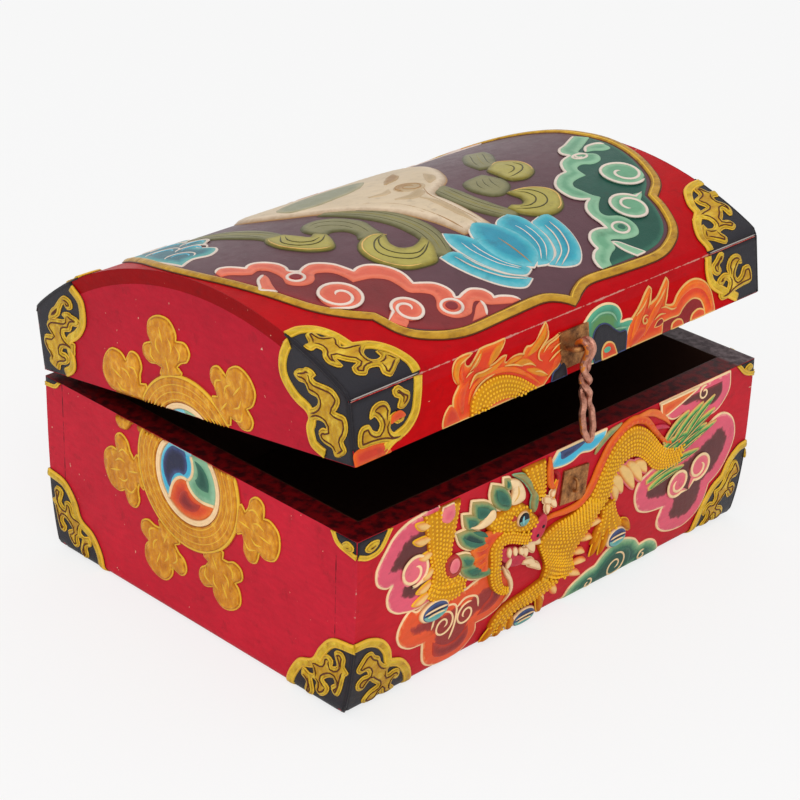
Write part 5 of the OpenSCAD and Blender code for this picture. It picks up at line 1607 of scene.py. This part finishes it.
# name: colours from the edge inwards, mm over which they change, roughness, wear, coat
PAINTS = {
    "gold": (((140, 90, 22), (190, 142, 38)), 1.0, 0.34, 0.3, 0.15),
    "lick": (((236, 118, 28), (230, 84, 10), (220, 58, 8)), 3.0, 0.34, 0.25, 0.2),
    "amber": (((226, 108, 16), (220, 136, 20), (204, 124, 12)), 1.4, 0.34, 0.25, 0.2),
    "crimson": (((150, 24, 22), (136, 10, 16)), 1.5, 0.36, 0.2, 0.15),
    "jade": (((96, 176, 140), (72, 150, 122), (92, 140, 84)), 5.0, 0.36, 0.3, 0.1),
    "shell_green": (((176, 166, 132), (146, 146, 118)), 4.0, 0.42, 0.3, 0.05),
    "shell_brown": (((190, 160, 118), (170, 132, 88)), 1.6, 0.42, 0.25, 0.05),
    "olive_shade": (((92, 88, 54), (84, 80, 46)), 0.8, 0.42, 0.25, 0.05),
    "gilt": (((140, 94, 8), (210, 172, 32), (198, 150, 20)), 1.6, 0.3, 0.2, 0.25),
    # bright gilt for piped lines, used also for painted highlights on the gilt relief
    "gilt_bright": (((194, 132, 18), (232, 184, 48)), 0.5, 0.3, 0.25, 0.25),
    "fire": (((226, 90, 30), (204, 54, 26)), 2.0, 0.34, 0.2, 0.2),
    # bright gold of the dragon's pips and rims, partly a painted highlight
    "gold_bright": (((214, 138, 14), (244, 186, 34)), 0.8, 0.3, 0.3, 0.25),
    "gold_pale": (((190, 130, 60), (236, 190, 110)), 1.2, 0.38, 0.3, 0.1),
    "wheel_gold": (((166, 88, 6), (216, 144, 18), (210, 134, 14)), 2.2, 0.3, 0.15, 0.2),
    "brown": (((70, 30, 12), (92, 44, 16)), 0.5, 0.4, 0.2, 0.1),
    "fin": (((178, 206, 110), (58, 140, 76), (22, 92, 60)), 1.5, 0.36, 0.25, 0.1),
    "wheel_orange": (((150, 66, 30), (186, 100, 36)), 1.2, 0.32, 0.2, 0.2),
    "cream": (((214, 156, 104), (248, 214, 164)), 0.6, 0.4, 0.25, 0.1),
    "chalk": (((196, 168, 152), (234, 216, 202)), 0.6, 0.42, 0.3, 0.1),
    "black": (((23, 18, 23), (37, 35, 42)), 2.0, 0.4, 0.25, 0.15),
    "pink": (((240, 150, 146), *((226, 88, 112),) * 6, (118, 48, 52), (98, 44, 44)), 8.5, 0.36, 0.25, 0.15),
    "blaze": (((240, 140, 84), *((228, 82, 34),) * 6, (178, 52, 38), (150, 42, 38)), 8.0, 0.36, 0.25, 0.15),
    "pink_light": (((238, 130, 134), (230, 104, 120)), 2.5, 0.38, 0.25, 0.1),
    "maroon": (((150, 56, 62), (98, 42, 42), (90, 40, 38)), 2.0, 0.4, 0.3, 0.1),
    "orange": (((236, 124, 50), (226, 80, 26), (200, 56, 30)), 5.0, 0.36, 0.3, 0.15),
    "ember": (((190, 56, 36), (138, 32, 32)), 2.6, 0.36, 0.3, 0.15),
    "flame": (((236, 116, 26), (224, 76, 18)), 1.6, 0.36, 0.3, 0.15),
    "green": (((164, 196, 150), (104, 160, 116), (52, 108, 88), (32, 76, 74)), 6.5, 0.4, 0.35, 0.1),
    "green_dark": (((60, 116, 94), (34, 84, 70)), 2.5, 0.4, 0.3, 0.1),
    "leaf": (((180, 160, 100), (96, 140, 96), (30, 66, 62)), 3.0, 0.4, 0.35, 0.1),
    "teal": (((124, 184, 172), (52, 146, 152), (30, 104, 118)), 5.0, 0.36, 0.3, 0.1),
    "cyan": (((150, 214, 222), (64, 180, 214)), 1.6, 0.36, 0.3, 0.1),
    "navy": (((70, 90, 136), (44, 50, 88), (34, 38, 66)), 3.0, 0.38, 0.25, 0.15),
    "salmon": (((230, 116, 88), (232, 120, 92), (220, 100, 76)), 3.0, 0.36, 0.2, 0.15),
    "salmon_ground": (((140, 46, 50), (126, 44, 46)), 5.0, 0.4, 0.2, 0.1),
    "shell": (((186, 158, 128), (226, 204, 176), (218, 196, 164)), 6.0, 0.42, 0.25, 0.05),
    "shell_shade": (((204, 178, 142), (188, 162, 124)), 2.0, 0.42, 0.3, 0.05),
    "shell_line": (((150, 110, 70), (176, 136, 92)), 0.6, 0.42, 0.2, 0.05),
    "lotus": (((120, 196, 206), (60, 172, 188), (40, 146, 172)), 5.5, 0.34, 0.2, 0.2),
    "olive": (((120, 108, 40), (154, 141, 60), (176, 163, 77)), 3.0, 0.38, 0.2, 0.15),
    "olive_line": (((66, 62, 28), (80, 74, 36)), 0.5, 0.4, 0.2, 0.1),
    "worn": (((150, 140, 136), (176, 166, 160)), 0.5, 0.5, 0.4, 0.05),
    "olive_dull": (((92, 88, 56), (118, 114, 74), (134, 128, 84)), 3.0, 0.4, 0.2, 0.15),
    "green_pale": (((150, 196, 160), (138, 186, 150), (108, 164, 128)), 3.5, 0.38, 0.2, 0.1),
    "ground": (((84, 52, 60), (96, 62, 70)), 4.0, 0.4, 0.2, 0.1),
    "dragon": (((186, 98, 4), (214, 146, 8), (198, 134, 4)), 4.0, 0.34, 0.2, 0.15),
    "claw": (((232, 150, 70), (240, 196, 120)), 1.2, 0.38, 0.2, 0.1),
    "mouth": (((206, 60, 84), (196, 34, 62)), 1.6, 0.36, 0.2, 0.2),
    "red_line": (((150, 14, 24), (176, 24, 30)), 1.0, 0.4, 0.2, 0.1),
}


def board(name, face, end, on_lid=False, deep=None, gloss=0.08):
    """Painted boards: the outer paint, another on the ends, dark rims and a dark brown inside.

    deep is the colour of the bent board's worn ends.
    """
    g = Graph(bpy.data.materials.new(name))
    at = g.place()
    box = at
    if on_lid:
        c, s = math.cos(LID_OPEN), math.sin(LID_OPEN)
        shift = (0, PIN[0] - (c * PIN[0] - s * PIN[1]), PIN_ON_LID - (s * PIN[0] + c * PIN[1]))
        box = g.place((1000, 1000, 1000), shift, LID_OPEN)
    split = g.add("ShaderNodeSeparateXYZ", {0: box})
    x, y, z = (split.outputs[k] for k in range(3))
    ax, ay = g.math("ABSOLUTE", x), g.math("ABSOLUTE", y)
    wobble = g.noise(at, 0.25, 3.0)
    on_end = g.steps(ax, HALF_LEN - 0.6, HALF_LEN - 0.3)
    colour = g.mix(on_end, srgb(*face), srgb(*end))
    if deep:
        high = g.steps(z, LID_SIDE_H + 3.0, LID_SIDE_H + 3.3)
        patchy = g.times(high, g.steps(wobble, 0.25, 0.5))
        colour = g.mix(g.times(on_end, patchy), colour, srgb(*deep))
        # a dark line along the arris over each end
        line = g.times(g.steps(g.gap(ax, HALF_LEN), 0.8, 0.2), g.steps(on_end, 0.9, 0.5))
        colour = g.mix(g.times(line, g.steps(wobble, 0.38, 0.5)), colour, srgb(64, 14, 16))
    # seams between the boards
    seam = g.times(g.steps(g.gap(ay, HALF_DEPTH - BOARD_T + 0.4), 0.42, 0.12), on_end)
    colour, height = hand_painted(g, colour, at, 0.55)
    colour = g.mix(g.times(seam, g.steps(wobble, 0.40, 0.62)), colour, srgb(60, 14, 20))
    # paint rubbed off along the edges
    arris_gap = g.minus(HALF_DEPTH, ay)
    patches, fine = g.noise(at, 0.13, 4.0, 0.7), g.noise(at, 0.9, 3.0)
    if on_lid:
        # a thin pale line rubbed along the front and back arris
        far = g.math("ADD", g.math("ABSOLUTE", arris_gap), g.gap(z, LID_SIDE_H))
        rub = g.minus(g.math("MULTIPLY_ADD", fine, 0.5, patches), g.times(far, 0.55))
        worn = g.times(g.steps(rub, 0.56, 0.66), 0.8)
    else:
        edge = g.math("ADD", g.math("MINIMUM", g.minus(HALF_LEN, ax), 4.0),
                      g.math("MAXIMUM", arris_gap, 0.0))
        rub = g.minus(patches, g.times(edge, 0.08))
        rub = g.math("ADD", rub, g.math("MULTIPLY_ADD", fine, 0.16, -0.08))
        worn = g.steps(rub, 0.555, 0.58)
    colour = g.mix(worn, colour, srgb(206, 150, 136))
    # small white scratches
    scratch = g.noise(g.place((240, 1700, 900), turn=0.7), 0.42, 2.0, 0.4)
    colour = g.mix(g.times(g.steps(scratch, 0.77, 0.785), 0.7), colour, GESSO)
    # the rims, and on the base's right a greyer one
    stain = g.steps(wobble, 0.4, 0.62)
    if on_lid:
        rim = g.steps(z, 0.12, 0.05)
        bare = g.mix(stain, srgb(96, 10, 14), srgb(48, 8, 12))
    else:
        rim = g.steps(z, BASE_H - 0.12, BASE_H - 0.05)
        bare = g.mix(stain, srgb(104, 10, 14), srgb(52, 8, 12))
        grey = g.mix(g.steps(wobble, 0.36, 0.6), srgb(112, 96, 98), srgb(66, 48, 52))
        bare = g.mix(g.steps(x, HALF_LEN - BOARD_T - 1.0, HALF_LEN - BOARD_T + 1.0), bare, grey)
    colour = g.mix(rim, colour, bare)
    # the inside, which on the lid ends at the hollow under the dome, and the underside
    inner_x = g.steps(ax, HALF_LEN - BOARD_T + 0.6, HALF_LEN - BOARD_T + 0.3)
    inner_y = g.steps(ay, HALF_DEPTH - BOARD_T + 0.6, HALF_DEPTH - BOARD_T + 0.3)
    inner = g.times(inner_x, inner_y)
    if on_lid:
        r = g.math("ADD", g.times(y, y), g.math("POWER", g.minus(z, DOME_Z), 2.0))
        r = g.math("SQRT", r)
        inner = g.times(inner, g.steps(r, DOME_R - TOP_T + 0.6, DOME_R - TOP_T + 0.3))
    else:
        inner = g.times(inner, g.steps(z, 1.0, 2.0))
        colour = g.mix(g.steps(z, 0.35, 0.15), colour, srgb(46, 20, 18))
    colour = g.mix(inner, colour, srgb(54, 34, 27))
    shine = g.math("MULTIPLY_ADD", g.noise(at, 0.16, 3.0), 0.26, 0.24)
    return g.finish(colour, shine, height, 0.22, coat=gloss * 0.3, coat_rough=0.18, specular=gloss)


def metal(name, tone, dull, rough, paint_side=False):
    """Tarnished metal, with a daub of orange paint on one side if asked."""
    g = Graph(bpy.data.materials.new(name))
    at = g.place()
    patina = g.steps(g.noise(at, 0.22, 5.0, 0.7), 0.38, 0.66)
    colour = g.mix(patina, srgb(*tone), srgb(*dull))
    spots = g.steps(g.noise(at, 1.3, 3.0), 0.62, 0.72)
    colour = g.mix(g.times(spots, 0.6), colour, srgb(38, 26, 22))
    if paint_side:
        x = g.add("ShaderNodeSeparateXYZ", {0: at}).outputs[0]
        daub = g.minus(g.noise(at, 0.4, 3.0), g.times(g.math("ADD", x, 2.0), 0.12))
        colour = g.mix(g.steps(daub, 0.52, 0.56), colour, srgb(226, 140, 60))
    shine = g.math("MULTIPLY_ADD", patina, 0.22, rough)
    return g.finish(colour, shine, g.noise(at, 2.2, 4.0, 0.6), 0.35, metal=0.9)


def clothe(names, material):
    """Puts a material on CAD nodes."""
    for name in names:
        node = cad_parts[name]
        node.data.materials.clear()
        node.data.materials.append(material)


red_board = board("red_board", (194, 26, 42), (196, 28, 50))
end_board = board("end_board", (198, 28, 50), (198, 28, 50))
lid_board = board("lid_board", (188, 1, 8), (186, 22, 46), True, gloss=0.04)
lid_end = board("lid_end", (186, 20, 44), (186, 20, 44), True)
top_board = board("top_board", (184, 2, 14), (150, 0, 6), True, gloss=0.06)
clothe(["base_front_board", "base_back_board", "base_floor_board"], red_board)
clothe(["base_left_board", "base_right_board"], end_board)
clothe(["lid_front_rail", "lid_back_rail"], lid_board)
clothe(["lid_left_gable", "lid_right_gable"], lid_end)
clothe(["lid_top_board"], top_board)
bronze = metal("plate_metal", (196, 138, 82), (104, 66, 44), 0.36)
clothe(["hasp_plate", "hasp_staple", "catch_plate", "catch_staple"], bronze)
clothe(["hasp"], metal("hasp_metal", (226, 164, 140), (150, 96, 78), 0.3, True))
brass = metal("hinge_metal", (176, 132, 62), (104, 74, 38), 0.34)
clothe([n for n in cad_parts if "hinge" in n], brass)

# pieces that take the place of plain CAD plates
STANDS_FOR = {}
for part in ("base_left", "base_right", "lid_left", "lid_right"):
    STANDS_FOR[f"{part}_relief"] = f"{part}_wheel"
STANDS_FOR |= {
    "lid_top_border": "lid_cartouche",
    "lid_top_conch": "lid_conch",
    "lid_top_lotus": "lid_lotus",
    "lid_top_ribbons": ("lid_left_scarf", "lid_right_scarf"),
    "lid_top_cloud_salmon": "lid_left_cloud",
    "lid_top_cloud_green": "lid_right_cloud",
}
build_pieces()

# ---------------------------------------------------------------- floor, light and camera
floor = bpy.data.meshes.new("floor")
floor.from_pydata([(-40, -40, 0), (40, -40, 0), (40, 40, 0), (-40, 40, 0)], [], [(0, 1, 2, 3)])
floor = bpy.data.objects.new("floor", floor)
bpy.context.collection.objects.link(floor)
g = Graph(bpy.data.materials.new("pale_floor"))
seen = g.add("ShaderNodeLightPath").outputs["Is Camera Ray"]
ground = g.add("ShaderNodeBsdfDiffuse", {"Color": srgb(246, 246, 246)}).outputs[0]
bright = g.add("ShaderNodeEmission", {"Color": (1, 1, 1, 1), "Strength": 0.98}).outputs[0]
part_lit = g.add("ShaderNodeMixShader", {0: 0.24, 1: bright, 2: ground}).outputs[0]
choose = g.add("ShaderNodeMixShader", {0: seen, 1: ground, 2: part_lit}).outputs[0]
g.add("ShaderNodeOutputMaterial", {"Surface": choose})
floor.data.materials.append(g.owner)

# the world: nearly white where the camera sees it, and a softer white as light
g = Graph(bpy.data.worlds.new("pale_world"))
seen = g.add("ShaderNodeLightPath").outputs["Is Camera Ray"]
backdrop = g.add("ShaderNodeBackground", {0: srgb(247, 247, 247)}).outputs[0]
lit = g.add("ShaderNodeBackground", {0: (1, 1, 1, 1), 1: 0.78}).outputs[0]
join = g.add("ShaderNodeMixShader", {0: seen, 1: lit, 2: backdrop}).outputs[0]
g.add("ShaderNodeOutputWorld", {0: join})
bpy.context.scene.world = g.owner

# one soft lamp at the front left, aimed at the middle of the box
KEY_AT, KEY_AIM, KEY_WIDTH, KEY_POWER = (-0.9, -0.9, 1.3), (0, 0, 0.06), 0.9, 7
lamp = bpy.data.lights.new("key", "AREA")
lamp.shape, lamp.size, lamp.energy = "DISK", KEY_WIDTH, KEY_POWER
lamp = bpy.data.objects.new("key", lamp)
lamp.location = KEY_AT
lamp.rotation_euler = (Vector(KEY_AIM) - Vector(KEY_AT)).to_track_quat("-Z", "Y").to_euler()
bpy.context.collection.objects.link(lamp)

# the photograph's camera: its lens, turn and place were solved from the box's edges
LENS, SENSOR, NEAR, FAR = 106.42, 36, 0.01, 200
TURN = Vector((1.92358, -0.77339, 0.51618))
SHIFT = Vector((0.0015466, 0.2389257, 4.3656524)) * 0.25
camera = bpy.data.cameras.new("camera")
camera.lens, camera.sensor_width, camera.clip_start, camera.clip_end = LENS, SENSOR, NEAR, FAR
camera = bpy.data.objects.new("camera", camera)
look = Matrix.Rotation(TURN.length, 3, TURN.normalized())
eye = -(look.transposed() @ SHIFT)
camera.matrix_world = Matrix.Translation(eye) @ (look.transposed() @ Matrix.Diagonal((1, -1, -1))).to_4x4()
bpy.context.collection.objects.link(camera)
bpy.context.scene.camera = camera
bpy.context.scene.view_settings.view_transform = "Standard"
